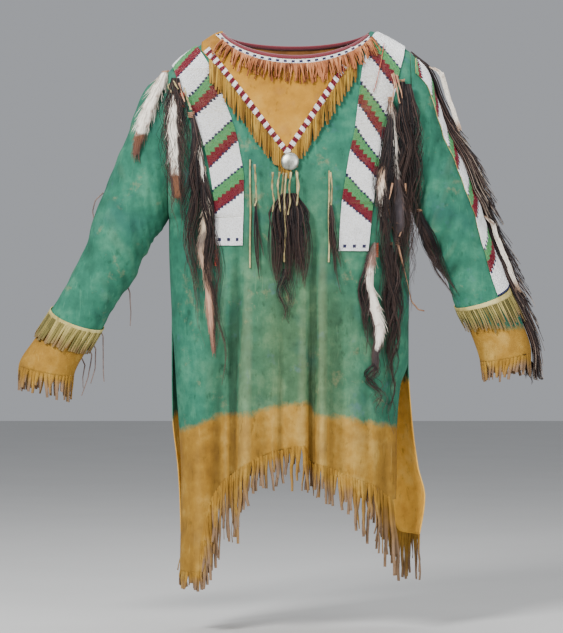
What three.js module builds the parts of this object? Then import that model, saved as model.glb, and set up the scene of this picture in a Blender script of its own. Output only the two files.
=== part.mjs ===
// A buckskin war shirt, filled out as it is worn and empty inside. Millimetres, +Z up, the front faces -Y.
// The origin is between the wearer's shoulders. Sides are the wearer's: right is -X, left is +X.
// The body is drawn on one curved hide: a point on it is an x across, and a path down the front from the
// shoulder ridge (positive) or down the back (negative). What lies on the hide is lifted off that surface.
import * as THREE from 'three';

// ---- Walls and gaps ----
const HIDE = 2.2; // wall of the tanned hide
const SEAM = 0.3; // gap where two pieces are sewn edge to edge
const LAY = 1.2; // gap under a piece that lies on another
const SEAT = 0.5; // gap where a piece is sewn or tied down
const BEADING = 2.6; // beads on their backing
const TRIM = 2; // wall of fringes, bindings and narrow bands

// ---- The body ----
const SHOULDER_DROP = 150; // how far below the ridge the front reaches its depth
const SHOULDER_PATH = 215; // the way down the hide that takes
const LEVEL_PATH = 320; // below this the shoulder's slope no longer shows
const SLIT_TOP = 668; // below this drop the sides are open
const SLIT_REACH = 450; // length of each side slit
const SLIT_GAP = 14; // how far each panel stands from the middle at the hem
const SIDE_SPREAD = 0.4; // power of the half oval across the body: less is boxier
const SHOULDER_ROWS = { count: 10, end: 250 }; // rows of facets, and the path where they end
const CHEST_ROWS = { count: 7, end: 650 };
const SKIRT_ROWS = 7; // from there to the hem
const PANEL_COLUMNS = { front: 24, back: 20 }; // facets across each panel

// Height of the shoulder ridge, where the front meets the back.
const RIDGE = [
  { x: -262, z: -46 },
  { x: -240, z: -22 },
  { x: -197, z: 9 },
  { x: -147, z: 36 },
  { x: 16, z: 46 },
  { x: 168, z: 40 },
  { x: 195, z: 29 },
  { x: 227, z: 12 },
  { x: 252, z: -4 },
];

// The body's sides and depth at each drop below the shoulders, front and back.
const FRONT_FORM = [
  { drop: 0, left: 252, right: -262.5, depth: 104 },
  { drop: 150, left: 252, right: -262.5, depth: 106 },
  { drop: 300, left: 252, right: -262.5, depth: 118 },
  { drop: 400, left: 252, right: -262.5, depth: 120 },
  { drop: 577, left: 250, right: -256, depth: 118 },
  { drop: 668, left: 248, right: -250, depth: 120 },
  { drop: 720, left: 232, right: -247, depth: 122 },
  { drop: 808, left: 225, right: -241, depth: 124 },
  { drop: 913, left: 224, right: -236, depth: 124 },
  { drop: 1113, left: 210, right: -239, depth: 116 },
];
const BACK_FORM = [
  { drop: 0, left: 252, right: -262.5, depth: 100 },
  { drop: 150, left: 252, right: -262.5, depth: 102 },
  { drop: 300, left: 252, right: -262.5, depth: 112 },
  { drop: 400, left: 252, right: -262.5, depth: 112 },
  { drop: 577, left: 250, right: -257, depth: 110 },
  { drop: 668, left: 250, right: -257, depth: 114 },
  { drop: 780, left: 257, right: -256, depth: 118 },
  { drop: 890, left: 271, right: -245, depth: 120 },
  { drop: 955, left: 286, right: -241, depth: 120 },
  { drop: 1060, left: 271, right: -238, depth: 112 },
];

// Soft folds that grow downward. A positive height is a ridge, a negative one a trough.
const FRONT_FOLDS = [
  { topX: -112, hemX: -158, top: 420, width: 26, height: -34 },
  { topX: -70, hemX: -98, top: 460, width: 34, height: 17 },
  { topX: -10, hemX: -22, top: 560, width: 26, height: -8 },
  { topX: 40, hemX: 38, top: 430, width: 15, height: -17 },
  { topX: 62, hemX: 82, top: 400, width: 34, height: 15 },
  { topX: 150, hemX: 150, top: 600, width: 26, height: 8 },
  { topX: 205, hemX: 200, top: 560, width: 18, height: -24 },
];
const BACK_FOLDS = [
  { topX: -140, hemX: -165, top: 500, width: 34, height: 16 },
  { topX: -60, hemX: -70, top: 430, width: 30, height: -16 },
  { topX: 30, hemX: 40, top: 480, width: 36, height: 14 },
  { topX: 120, hemX: 130, top: 520, width: 28, height: -15 },
];
const FOLD_REACH = 460; // drop over which a fold grows to its full height

// Armholes: ovals in the upright planes of the body's sides.
const ARMHOLES = {
  right: { x: -262.5, top: -46, bottom: -361, halfDepth: 80 },
  left: { x: 252, top: -4, bottom: -332, halfDepth: 82 },
};

// The neck opening, and how deep it is scooped in front and behind.
const NECK = { middle: 10, half: 157, front: 68, back: 34, power: 0.7 };

// Hems: height of each panel's lower edge, and the reach of the fringe cut below it.
const FRONT_HEM = [
  { x: -239, z: -1113, fringe: 36 },
  { x: -190, z: -1113, fringe: 40 },
  { x: -183, z: -1014, fringe: 120 },
  { x: -162, z: -943, fringe: 160 },
  { x: -130, z: -905, fringe: 170 },
  { x: -112, z: -892, fringe: 150 },
  { x: -82, z: -874, fringe: 85 },
  { x: -34, z: -853, fringe: 80 },
  { x: 24, z: -844, fringe: 95 },
  { x: 40, z: -876, fringe: 70 },
  { x: 82, z: -890, fringe: 84 },
  { x: 120, z: -909, fringe: 96 },
  { x: 172, z: -928, fringe: 130 },
  { x: 212, z: -958, fringe: 180 },
];
const BACK_HEM = [
  { x: -238, z: -1050, fringe: 70 },
  { x: -190, z: -1050, fringe: 80 },
  { x: -160, z: -930, fringe: 90 },
  { x: -80, z: -850, fringe: 80 },
  { x: 0, z: -822, fringe: 75 },
  { x: 90, z: -845, fringe: 75 },
  { x: 160, z: -900, fringe: 85 },
  { x: 205, z: -965, fringe: 100 },
  { x: 236, z: -1035, fringe: 104 },
  { x: 286, z: -1040, fringe: 104 },
];

// ---- The sleeves: outer and inner edge of each ring, from the armhole down to the fringe's end ----
const SLEEVE_RIGHT = [
  { outerX: -262.9, outerZ: -46, innerX: -262.9, innerZ: -361, halfDepth: 80, y: 0 },
  { outerX: -313, outerZ: -84, innerX: -275, innerZ: -382, halfDepth: 82, y: -2 },
  { outerX: -344, outerZ: -162, innerX: -294, innerZ: -405, halfDepth: 78, y: -4 },
  { outerX: -370, outerZ: -227, innerX: -307, innerZ: -426, halfDepth: 72, y: -7 },
  { outerX: -407, outerZ: -315, innerX: -323, innerZ: -460, halfDepth: 64, y: -10 },
  { outerX: -437, outerZ: -410, innerX: -349, innerZ: -510, halfDepth: 56, y: -13 },
  { outerX: -475, outerZ: -494, innerX: -378, innerZ: -548, halfDepth: 49, y: -16 },
  { outerX: -515, outerZ: -559, innerX: -407, innerZ: -601, halfDepth: 46, y: -18 },
  { outerX: -544, outerZ: -611, innerX: -439, innerZ: -645, halfDepth: 46, y: -20 },
  { outerX: -582, outerZ: -674, innerX: -464, innerZ: -697, halfDepth: 50, y: -22 },
  { outerX: -586, outerZ: -725, innerX: -469, innerZ: -752, halfDepth: 52, y: -23 },
];
const SLEEVE_LEFT = [
  { outerX: 252.4, outerZ: -4, innerX: 252.4, innerZ: -332, halfDepth: 82, y: 0 },
  { outerX: 291, outerZ: -50, innerX: 260, innerZ: -355, halfDepth: 82, y: -2 },
  { outerX: 319, outerZ: -141, innerX: 271, innerZ: -386, halfDepth: 78, y: -4 },
  { outerX: 344, outerZ: -204, innerX: 283, innerZ: -414, halfDepth: 72, y: -7 },
  { outerX: 378, outerZ: -284, innerX: 304, innerZ: -443, halfDepth: 64, y: -10 },
  { outerX: 405, outerZ: -357, innerX: 321, innerZ: -472, halfDepth: 56, y: -13 },
  { outerX: 433, outerZ: -435, innerX: 336, innerZ: -508, halfDepth: 50, y: -16 },
  { outerX: 464, outerZ: -514, innerX: 351, innerZ: -554, halfDepth: 47, y: -18 },
  { outerX: 487, outerZ: -571, innerX: 374, innerZ: -590, halfDepth: 47, y: -20 },
  { outerX: 510, outerZ: -645, innerX: 401, innerZ: -666, halfDepth: 50, y: -22 },
  { outerX: 509, outerZ: -695, innerX: 406, innerZ: -708, halfDepth: 52, y: -23 },
];
const WRIST = 7; // ring where the sleeve ends and the cuff begins
const CUFF_END = 9; // ring where the cuff's fringe begins
const FRINGE_END = 10; // last ring
const RING_SIDES = 16;
const SLEEVE_ROWS = 12; // facets from the armhole to the wrist
const CUFF_ROWS = 3;
const CUFF_BAND = { above: 0.12, below: 0.85, flare: 4 }; // applied fringe, in rings from the wrist

// ---- Beaded strips ----
// Edges of the shoulder strips; the way down the back mirrors the way down the front.
const STRIP_RIGHT = [
  { path: 0, inner: -205, outer: -254 },
  { path: 66, inner: -193, outer: -250 },
  { path: 136, inner: -168, outer: -238 },
  { path: 190, inner: -143, outer: -214 },
  { path: 252, inner: -118, outer: -193 },
  { path: 292, inner: -109, outer: -181 },
  { path: 344, inner: -101, outer: -170 },
  { path: 395, inner: -101, outer: -164 },
  { path: 484, inner: -103, outer: -160 },
];
const STRIP_LEFT = [
  { path: 0, inner: 185, outer: 241 },
  { path: 66, inner: 168, outer: 238 },
  { path: 130, inner: 150, outer: 227 },
  { path: 190, inner: 140, outer: 213 },
  { path: 245, inner: 132, outer: 196 },
  { path: 292, inner: 121, outer: 187 },
  { path: 344, inner: 112, outer: 179 },
  { path: 395, inner: 104, outer: 171 },
  { path: 497, inner: 97, outer: 160 },
];
const STRIP_LAY = 2.9; // gap under the strips over the shoulders
const STRIP_ROWS = 30;
const STRIP_LANES = 3; // facets across a strip
const SLEEVE_LAY = 3.2; // gap under the strips on the sleeves, whose hide is rounder
const SLEEVE_STRIP = { width: 62, from: 0.25, to: 6.85, rows: 13 }; // in rings along the sleeve
const SLEEVE_STRIP_TURN = { right: -0.95, left: 0.56 }; // radians round from the outer edge to the front

// ---- Bib, neck and disk ----
const BIB = { rightX: -190, rightZ: -6.5, pointX: -10, pointZ: -240, leftX: 160, leftZ: 12 };
const BIB_FACETS = { across: 16, down: 8 };
const BIB_LAY = 2.9; // gap under the bib
const BIB_TOP = 1.2; // clear of the shoulder ridge and of the neck's edge
const BIB_REACH = 156; // the bib's left end
const BIB_BAND = { width: 14, rightStart: -186, leftEnd: 118, mitre: 13, facets: 10 };
const BIB_FRINGE = { length: 50, inset: 20, clear: 1.4, across: 11, down: 3 };
const FRINGE_LAY = 2.2; // gap between the bib's fringe and the strips under it
const BIB_FRINGE_REACH = 112;
const NECK_BINDING = 6; // width of the cloth over the neck's edge
const NECK_BEADS = 8; // width of the beaded band below it
const NECK_FRINGE = 30;
const NECK_STEP = 0.6; // gap between neighbours round the neck
const NECK_COLUMNS = 16;
const DISK = { radius: 19, height: 7, rim: 1.6, x: -4, z: -246, steps: 5, sides: 24 };

// ---- Locks of hair and ermine: centre, half width and half thickness at each height ----
const LOCKS = {
  hair_lock_center: [
    { x: -4, z: -283, half: 10, thick: 5 },
    { x: -4, z: -340, half: 24, thick: 9 },
    { x: -3, z: -430, half: 36, thick: 12 },
    { x: -2, z: -500, half: 34, thick: 10 },
    { x: -2, z: -574, half: 17, thick: 5 },
  ],
  hair_lock_chest_right: [
    { x: -76, z: -262, half: 4, thick: 3 },
    { x: -71, z: -360, half: 8, thick: 5 },
    { x: -66, z: -430, half: 9, thick: 5 },
    { x: -62, z: -506, half: 4, thick: 3 },
  ],
  hair_lock_chest_left: [
    { x: 92, z: -306, half: 5, thick: 4 },
    { x: 97, z: -410, half: 12, thick: 6 },
    { x: 95, z: -514, half: 5, thick: 3 },
  ],
  ermine_right_outer: [
    { x: -270, z: -62, half: 9, thick: 5 },
    { x: -287, z: -95, half: 15, thick: 8 },
    { x: -306, z: -137, half: 18, thick: 9 },
    { x: -321, z: -179, half: 14, thick: 8 },
    { x: -325, z: -206, half: 10, thick: 6 },
    { x: -327, z: -232, half: 5, thick: 4 },
  ],
  ermine_right_inner: [
    { x: -247, z: -105, half: 9, thick: 6 },
    { x: -250, z: -158, half: 15, thick: 9 },
    { x: -252, z: -240, half: 16, thick: 9 },
    { x: -253, z: -315, half: 13, thick: 8 },
    { x: -253, z: -395, half: 6, thick: 4 },
  ],
  hair_right_upper: [
    { x: -219, z: -112, half: 8, thick: 5 },
    { x: -214, z: -200, half: 16, thick: 9 },
    { x: -203, z: -300, half: 18, thick: 10 },
    { x: -196, z: -410, half: 16, thick: 9 },
    { x: -194, z: -520, half: 12, thick: 7 },
    { x: -200, z: -650, half: 5, thick: 4 },
  ],
  hair_right_lower: [
    { x: -181, z: -262, half: 6, thick: 4 },
    { x: -176, z: -350, half: 13, thick: 7 },
    { x: -172, z: -460, half: 15, thick: 8 },
    { x: -166, z: -570, half: 10, thick: 6 },
    { x: -162, z: -690, half: 4, thick: 3 },
  ],
  hair_left_upper: [
    { x: 233, z: -70, half: 9, thick: 6 },
    { x: 240, z: -160, half: 18, thick: 10 },
    { x: 244, z: -260, half: 19, thick: 11 },
    { x: 238, z: -370, half: 16, thick: 9 },
    { x: 228, z: -470, half: 12, thick: 7 },
    { x: 220, z: -560, half: 5, thick: 4 },
  ],
  ermine_left_upper: [
    { x: 211, z: -125, half: 7, thick: 5 },
    { x: 207, z: -200, half: 12, thick: 7 },
    { x: 209, z: -300, half: 13, thick: 8 },
    { x: 215, z: -390, half: 10, thick: 6 },
    { x: 222, z: -440, half: 5, thick: 4 },
  ],
  ermine_left_lower: [
    { x: 183, z: -400, half: 6, thick: 4 },
    { x: 173, z: -470, half: 14, thick: 8 },
    { x: 172, z: -540, half: 18, thick: 9 },
    { x: 178, z: -600, half: 15, thick: 8 },
    { x: 174, z: -672, half: 7, thick: 5 },
    { x: 182, z: -750, half: 4, thick: 3 },
  ],
  hair_left_lower: [
    { x: 203, z: -440, half: 8, thick: 5 },
    { x: 213, z: -530, half: 13, thick: 7 },
    { x: 212, z: -650, half: 11, thick: 6 },
    { x: 208, z: -808, half: 4, thick: 3 },
  ],
  hair_underarm_left: [
    { x: 268, z: -345, half: 7, thick: 5 },
    { x: 282, z: -405, half: 12, thick: 7 },
    { x: 301, z: -450, half: 11, thick: 6 },
    { x: 322, z: -492, half: 4, thick: 3 },
  ],
};
const LOCK_GAP = 1.9; // between a lock and what it hangs against
const LOCK_TIE = 3; // height of the tie at its top
const LOCK_FEEL = 8; // places from a lock's middle to its side at which it feels what is behind it
const LOCK_SIDES = 8;
const LOCK_RINGS = 1.5; // rings of facets for each row of a lock's table

// The hair that stands along the outer edge of the left sleeve, then falls past the cuff.
const SLEEVE_HAIR = [
  { ring: 0.7, half: 8, thick: 7, off: 3 },
  { ring: 1.5, half: 15, thick: 11, off: 3 },
  { ring: 3, half: 16, thick: 12, off: 3 },
  { ring: 4.5, half: 17, thick: 12, off: 3 },
  { ring: 6, half: 13, thick: 10, off: 6 },
  { ring: 7.3, half: 8, thick: 7, off: 10 },
  { ring: 8.6, half: 7, thick: 6, off: 7 },
  { ring: 9.7, half: 4, thick: 4, off: 4 },
];
const SLEEVE_HAIR_BACK = 9; // how far behind the sleeve's outer edge it stands

// Hide thongs that hang free: the points that each follows, from its hole or its knot to its end.
const THONGS = {
  thong_center_right: {
    width: 3.6,
    points: [
      { x: -18, z: -269 },
      { x: -19, z: -284 },
      { x: -21, z: -305 },
      { x: -24, z: -350 },
      { x: -26, z: -400 },
      { x: -28, z: -456 },
    ],
  },
  thong_center_left: {
    width: 3.6,
    points: [
      { x: 9, z: -265 },
      { x: 10, z: -284 },
      { x: 11, z: -305 },
      { x: 13, z: -350 },
      { x: 15, z: -400 },
      { x: 17, z: -448 },
    ],
  },
  thong_chest_right: {
    width: 3.6,
    points: [
      { x: -88, z: -241 },
      { x: -88, z: -290 },
      { x: -87, z: -350 },
      { x: -88, z: -410 },
      { x: -88, z: -468 },
    ],
  },
  thong_chest_left: {
    width: 3.6,
    points: [
      { x: 78, z: -264 },
      { x: 78, z: -310 },
      { x: 77, z: -360 },
      { x: 78, z: -410 },
      { x: 77, z: -456 },
    ],
  },
};
const THONG_GAP = 1.2;
const THONG_REACH = 14; // how far up and down a thong feels what it lies on
const THONG_STEP = 2.6; // widths between two sections of a thong
const THONG_SIDES = 8;

// ---- Curves through the tables ----
// A smooth curve through a table's rows that never overshoots them.
function through(rows, input, output) {
  const at = rows.map((row) => row[input]);
  const value = rows.map((row) => row[output]);
  const slope = at.slice(1).map((next, i) => (value[i + 1] - value[i]) / (next - at[i]));
  const tangent = at.map((_, i) => {
    if (i === 0) return slope[0];
    if (i === slope.length) return slope[i - 1];
    const product = slope[i - 1] * slope[i];
    return product > 0 ? (2 * product) / (slope[i - 1] + slope[i]) : 0;
  });
  return (x) => {
    if (x <= at[0]) return value[0];
    if (x >= at[at.length - 1]) return value[value.length - 1];
    const i = at.findIndex((next) => next > x) - 1;
    const span = at[i + 1] - at[i];
    const t = (x - at[i]) / span;
    const rise = value[i + 1] - value[i];
    const bend = (1 - t) * (tangent[i] * span - rise) - t * (tangent[i + 1] * span - rise);
    return value[i] + t * rise + t * (1 - t) * bend;
  };
}

const mix = THREE.MathUtils.lerp;
const clamp = THREE.MathUtils.clamp;
const smooth = (value, from, to) => THREE.MathUtils.smoothstep(value, from, to);

// ---- The body's surface ----
const ridgeAt = through(RIDGE, 'x', 'z');
const sideOf = (form, folds) => ({
  left: through(form, 'drop', 'left'),
  right: through(form, 'drop', 'right'),
  depth: through(form, 'drop', 'depth'),
  folds,
});
const FRONT = sideOf(FRONT_FORM, FRONT_FOLDS);
const BACK = sideOf(BACK_FORM, BACK_FOLDS);

// How far below the ridge a point is, after a way down the hide.
function dropAt(path) {
  const way = Math.abs(path);
  if (way > SHOULDER_PATH) return SHOULDER_DROP + way - SHOULDER_PATH;
  return SHOULDER_DROP * (1 - Math.cos((way / SHOULDER_PATH) * (Math.PI / 2)));
}

function depthAt(side, path) {
  const turn = Math.min(Math.abs(path) / SHOULDER_PATH, 1) * (Math.PI / 2);
  return side.depth(Math.max(dropAt(path), SHOULDER_DROP)) * Math.sin(turn);
}

// How far a panel's edge stands from the middle plane: round the armhole, and at the open slit.
function edgeAt(hole, z) {
  const middle = (hole.top + hole.bottom) / 2;
  const reach = (z - middle) / ((hole.top - hole.bottom) / 2);
  const oval = hole.halfDepth * Math.sqrt(Math.max(0, 1 - reach * reach));
  return Math.max(oval, SEAM / 2, SLIT_GAP * smooth(-z, SLIT_TOP, SLIT_TOP + SLIT_REACH));
}

function foldAt(folds, x, drop) {
  return folds.reduce((sum, fold) => {
    const grown = smooth(drop, fold.top, fold.top + FOLD_REACH);
    const off = (x - mix(fold.topX, fold.hemX, grown)) / fold.width;
    return sum + fold.height * grown * Math.exp(-off * off);
  }, 0);
}

function bodyAt(x, path) {
  const side = path < 0 ? BACK : FRONT;
  const drop = dropAt(path);
  const half = (side.left(drop) - side.right(drop)) / 2;
  const middle = side.right(drop) + half;
  const across = clamp((x - middle) / half, -1, 1);
  const onHide = middle + across * half;
  const level = ridgeAt(onHide) * (1 - smooth(Math.abs(path), 0, LEVEL_PATH)) - drop;
  const round = Math.pow(1 - across * across, SIDE_SPREAD);
  const edge = edgeAt(across < 0 ? ARMHOLES.right : ARMHOLES.left, level);
  const out = edge + (depthAt(side, path) - edge) * round + foldAt(side.folds, onHide, drop) * round;
  return new THREE.Vector3(onHide, path < 0 ? out : -out, level);
}

const LONGEST_PATH = 1400; // further than any hem
const HALVINGS = 40; // steps of each search, which leave no error to speak of
// The way down the front (or the back) at which the hide at x reaches height z.
function pathTo(x, z, sign = 1) {
  let [near, far] = [0, LONGEST_PATH];
  for (let step = 0; step < HALVINGS; step += 1) {
    const middle = (near + far) / 2;
    if (bodyAt(x, sign * middle).z > z) near = middle;
    else far = middle;
  }
  return sign * near;
}

// A point on a surface of two values, moved off it along its normal, which is found over a small step.
function lifted(surface, first, second, off, step = 0.4) {
  const along = surface(first + step, second).sub(surface(first - step, second));
  const down = surface(first, second + step).sub(surface(first, second - step));
  return surface(first, second).addScaledVector(down.cross(along).normalize(), off);
}

// The height of the neck's edge at x, and its path down the hide.
function neckAt(x, depth) {
  const across = clamp((x - NECK.middle) / NECK.half, -1, 1);
  return ridgeAt(x) - depth * Math.pow(1 - across * across, NECK.power);
}
const EDGE_PATH = 0.5; // the panels' edges stay this far from the ridge line
const inNeck = (x) => Math.abs(x - NECK.middle) < NECK.half;
function topPath(x, sign) {
  if (!inNeck(x)) return sign * EDGE_PATH;
  const depth = sign > 0 ? NECK.front : NECK.back;
  return sign * Math.max(Math.abs(pathTo(x, neckAt(x, depth), sign)), EDGE_PATH);
}

// ---- Solids ----
// A closed mesh from its points and triangles, turned so that its faces point out.
function closedSolid(points, triangles) {
  const volume = triangles.reduce((sum, [a, b, c]) => {
    return sum + points[a].dot(points[b].clone().cross(points[c]));
  }, 0);
  const turned = volume < 0 ? triangles.map(([a, b, c]) => [a, c, b]) : triangles;
  const geometry = new THREE.BufferGeometry();
  geometry.setAttribute('position', new THREE.Float32BufferAttribute(points.flatMap((p) => p.toArray()), 3));
  geometry.setIndex(turned.flat());
  geometry.computeVertexNormals();
  return geometry;
}

// A wall of cloth: place(u, v, face) gives the points of its outer (0) and inner (1) face.
// A closed wall is a tube, which joins itself in u.
function wall(place, columns, rows, closed = false) {
  const wide = closed ? columns : columns + 1;
  const points = [];
  for (const face of [0, 1]) {
    for (let j = 0; j <= rows; j += 1) {
      for (let i = 0; i < wide; i += 1) points.push(place(i / columns, j / rows, face));
    }
  }
  const at = (face, i, j) => (face * (rows + 1) + j) * wide + (i % wide);
  const triangles = [];
  const quad = (a, b, c, d) => triangles.push([a, b, c], [a, c, d]);
  for (let i = 0; i < columns; i += 1) {
    for (let j = 0; j < rows; j += 1) {
      quad(at(0, i, j), at(0, i, j + 1), at(0, i + 1, j + 1), at(0, i + 1, j));
      quad(at(1, i, j), at(1, i + 1, j), at(1, i + 1, j + 1), at(1, i, j + 1));
    }
    quad(at(0, i, 0), at(0, i + 1, 0), at(1, i + 1, 0), at(1, i, 0));
    quad(at(0, i, rows), at(1, i, rows), at(1, i + 1, rows), at(0, i + 1, rows));
  }
  for (let j = 0; j < rows && !closed; j += 1) {
    quad(at(0, 0, j), at(1, 0, j), at(1, 0, j + 1), at(0, 0, j + 1));
    quad(at(0, columns, j), at(0, columns, j + 1), at(1, columns, j + 1), at(1, columns, j));
  }
  return closedSolid(points, triangles);
}

// A solid through oval rings, with its two ends closed to a point in their middles.
function loft(rings) {
  const points = rings.flat();
  const triangles = [];
  for (let j = 0; j + 1 < rings.length; j += 1) {
    for (let i = 0; i < LOCK_SIDES; i += 1) {
      const next = (i + 1) % LOCK_SIDES;
      const [a, b] = [j * LOCK_SIDES + i, j * LOCK_SIDES + next];
      triangles.push([a, b, b + LOCK_SIDES], [a, b + LOCK_SIDES, a + LOCK_SIDES]);
    }
  }
  for (const ring of [0, rings.length - 1]) {
    const middle = points.push(rings[ring].reduce((sum, p) => sum.add(p), new THREE.Vector3()));
    points[middle - 1].divideScalar(LOCK_SIDES);
    for (let i = 0; i < LOCK_SIDES; i += 1) {
      const [a, b] = [ring * LOCK_SIDES + i, ring * LOCK_SIDES + ((i + 1) % LOCK_SIDES)];
      triangles.push(ring === 0 ? [b, a, middle - 1] : [a, b, middle - 1]);
    }
  }
  return closedSolid(points, triangles);
}

// ---- Colours and finishes ----
const finish = (color, roughness = 0.85, metalness = 0) =>
  new THREE.MeshStandardMaterial({ color, roughness, metalness });
const FINISH = {
  green: finish('#4f9273'),
  ochre: finish('#bd9448'),
  bib: finish('#c79a45'),
  paleFringe: finish('#b5a66c'),
  beads: finish('#e2e4ea', 0.4),
  cloth: finish('#73202e', 0.9),
  salmon: finish('#c5794f'),
  thong: finish('#b39a64'),
  hair: finish('#2d2326', 0.6),
  ermine: finish('#e0d6c6', 0.9),
  disk: finish('#c3c0b8', 0.35, 0.8),
};

const shirt = new THREE.Group();
const built = []; // what a lock or a thong can hang against
function add(name, geometry, material) {
  const mesh = new THREE.Mesh(geometry, material);
  mesh.name = name;
  mesh.updateMatrixWorld();
  shirt.add(mesh);
  built.push(mesh);
}

// ---- Front and back panels ----
// The path of a row of facets, which is level from the shoulder's foot to the skirt.
function rowPath(row, top = 0, hem = 0) {
  const chest = row - SHOULDER_ROWS.count;
  const skirt = chest - CHEST_ROWS.count;
  if (chest <= 0) return mix(top, SHOULDER_ROWS.end, row / SHOULDER_ROWS.count);
  if (skirt <= 0) return mix(SHOULDER_ROWS.end, CHEST_ROWS.end, chest / CHEST_ROWS.count);
  return mix(CHEST_ROWS.end, hem, skirt / SKIRT_ROWS);
}
const PANEL_ROWS = SHOULDER_ROWS.count + CHEST_ROWS.count + SKIRT_ROWS;

const SETTLING = 6; // rounds in which a point's x and path settle on each other
// A point of a panel, at a place across it and a row down it.
function panelPoint(across, row, sign, hemAt, off) {
  const side = sign > 0 ? FRONT : BACK;
  let path = sign * EDGE_PATH;
  let x = 0;
  for (let round = 0; round < SETTLING; round += 1) {
    const drop = dropAt(path);
    x = mix(side.right(drop), side.left(drop), (across + 1) / 2);
    path = sign * rowPath(row, Math.abs(topPath(x, sign)), Math.abs(pathTo(x, hemAt(x), sign)));
  }
  return lifted(bodyAt, x, path, off);
}

function panel(sign, hem, columns) {
  const hemAt = through(hem, 'x', 'z');
  return wall((u, v, face) => {
    const across = Math.sin((u - 0.5) * Math.PI);
    return panelPoint(across, v * PANEL_ROWS, sign, hemAt, face ? -HIDE : 0);
  }, columns, PANEL_ROWS);
}
add('front_panel', panel(1, FRONT_HEM, PANEL_COLUMNS.front), FINISH.green);
add('back_panel', panel(-1, BACK_HEM, PANEL_COLUMNS.back), FINISH.green);

// Cut fringe below a hem: it hangs straight down from the panel's edge.
function hemFringe(sign, hem, columns) {
  const hemAt = through(hem, 'x', 'z');
  const reachAt = through(hem, 'x', 'fringe');
  return wall((u, v, face) => {
    const across = Math.sin((u - 0.5) * Math.PI);
    const root = panelPoint(across, PANEL_ROWS, sign, hemAt, face ? -HIDE : 0);
    const slope = (hemAt(root.x + 1) - hemAt(root.x - 1)) / 2;
    root.z -= SEAM * Math.hypot(1, slope) + reachAt(root.x) * v;
    return root;
  }, columns, 2);
}
add('hem_fringe_front', hemFringe(1, FRONT_HEM, PANEL_COLUMNS.front), FINISH.ochre);
add('hem_fringe_back', hemFringe(-1, BACK_HEM, PANEL_COLUMNS.back), FINISH.ochre);

// ---- Sleeves, cuffs and their fringes ----
const sleeveCurves = (rows) => {
  const numbered = rows.map((row, ring) => ({ ring, ...row }));
  const keys = ['outerX', 'outerZ', 'innerX', 'innerZ', 'halfDepth', 'y'];
  return Object.fromEntries(keys.map((key) => [key, through(numbered, 'ring', key)]));
};
const ARMS = { right: sleeveCurves(SLEEVE_RIGHT), left: sleeveCurves(SLEEVE_LEFT) };

// A point of a sleeve: turn 0 is the outer edge, a quarter turn is the front.
function sleeveAt(arm, ring, turn) {
  const [across, forward] = [(1 + Math.cos(turn)) / 2, Math.sin(turn)];
  return new THREE.Vector3(
    mix(arm.innerX(ring), arm.outerX(ring), across),
    arm.y(ring) - arm.halfDepth(ring) * forward,
    mix(arm.innerZ(ring), arm.outerZ(ring), across),
  );
}

// The same point moved off the sleeve; the left sleeve mirrors the right, so its normal is turned round.
function offSleeve(side, ring, turn, off) {
  const arm = ARMS[side];
  const step = 0.02;
  const along = sleeveAt(arm, ring + step, turn).sub(sleeveAt(arm, Math.max(ring - step, 0), turn));
  const round = sleeveAt(arm, ring, turn + step).sub(sleeveAt(arm, ring, turn - step));
  const normal = along.cross(round).normalize();
  if (side === 'left') normal.negate();
  if (ring === 0) normal.setX(0).normalize(); // the armhole's ring stays in its plane
  return sleeveAt(arm, ring, turn).addScaledVector(normal, off);
}

function tube(side, from, to, rows, off = () => 0, thickness = HIDE) {
  return wall((u, v, face) => {
    return offSleeve(side, mix(from, to, v), u * 2 * Math.PI, off(v) - face * thickness);
  }, RING_SIDES, rows, true);
}

const RING_GAP = 0.006; // about SEAM, in rings
for (const side of ['right', 'left']) {
  add(`sleeve_${side}`, tube(side, 0, WRIST - RING_GAP, SLEEVE_ROWS), FINISH.green);
  add(`cuff_${side}`, tube(side, WRIST, CUFF_END, CUFF_ROWS), FINISH.ochre);
  add(`cuff_end_fringe_${side}`, tube(side, CUFF_END + RING_GAP, FRINGE_END, 1), FINISH.ochre);
  const flared = (v) => LAY + TRIM + CUFF_BAND.flare * v;
  const band = tube(side, WRIST - CUFF_BAND.above, WRIST + CUFF_BAND.below, 2, flared, TRIM);
  add(`cuff_band_fringe_${side}`, band, FINISH.paleFringe);
}

// ---- Beaded strips over the shoulders and along the sleeves ----
function shoulderStrip(rows) {
  const innerAt = through(rows, 'path', 'inner');
  const outerAt = through(rows, 'path', 'outer');
  const reach = rows[rows.length - 1].path;
  return wall((u, v, face) => {
    const path = clamp(Math.sign(v - 0.5) * rowPath(Math.abs(v - 0.5) * STRIP_ROWS), -reach, reach);
    const x = mix(innerAt(Math.abs(path)), outerAt(Math.abs(path)), u);
    return lifted(bodyAt, x, path, STRIP_LAY + (face ? 0 : BEADING));
  }, STRIP_LANES, STRIP_ROWS);
}
add('shoulder_strip_right', shoulderStrip(STRIP_RIGHT), FINISH.beads);
add('shoulder_strip_left', shoulderStrip(STRIP_LEFT), FINISH.beads);

for (const side of ['right', 'left']) {
  const arm = ARMS[side];
  const strip = wall((u, v, face) => {
    const ring = mix(SLEEVE_STRIP.from, SLEEVE_STRIP.to, v);
    const tall = Math.hypot(arm.outerX(ring) - arm.innerX(ring), arm.outerZ(ring) - arm.innerZ(ring)) / 2;
    const halfTurn = SLEEVE_STRIP.width / 2 / Math.sqrt((tall * tall + arm.halfDepth(ring) ** 2) / 2);
    const turn = SLEEVE_STRIP_TURN[side] + mix(-halfTurn, halfTurn, u);
    const lay = u === 0 || u === 1 ? SEAT : SLEEVE_LAY; // its long edges are sewn down
    return offSleeve(side, ring, turn, lay + (face ? 0 : BEADING));
  }, STRIP_LANES, SLEEVE_STRIP.rows);
  add(`sleeve_strip_${side}`, strip, FINISH.beads);
}

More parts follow.
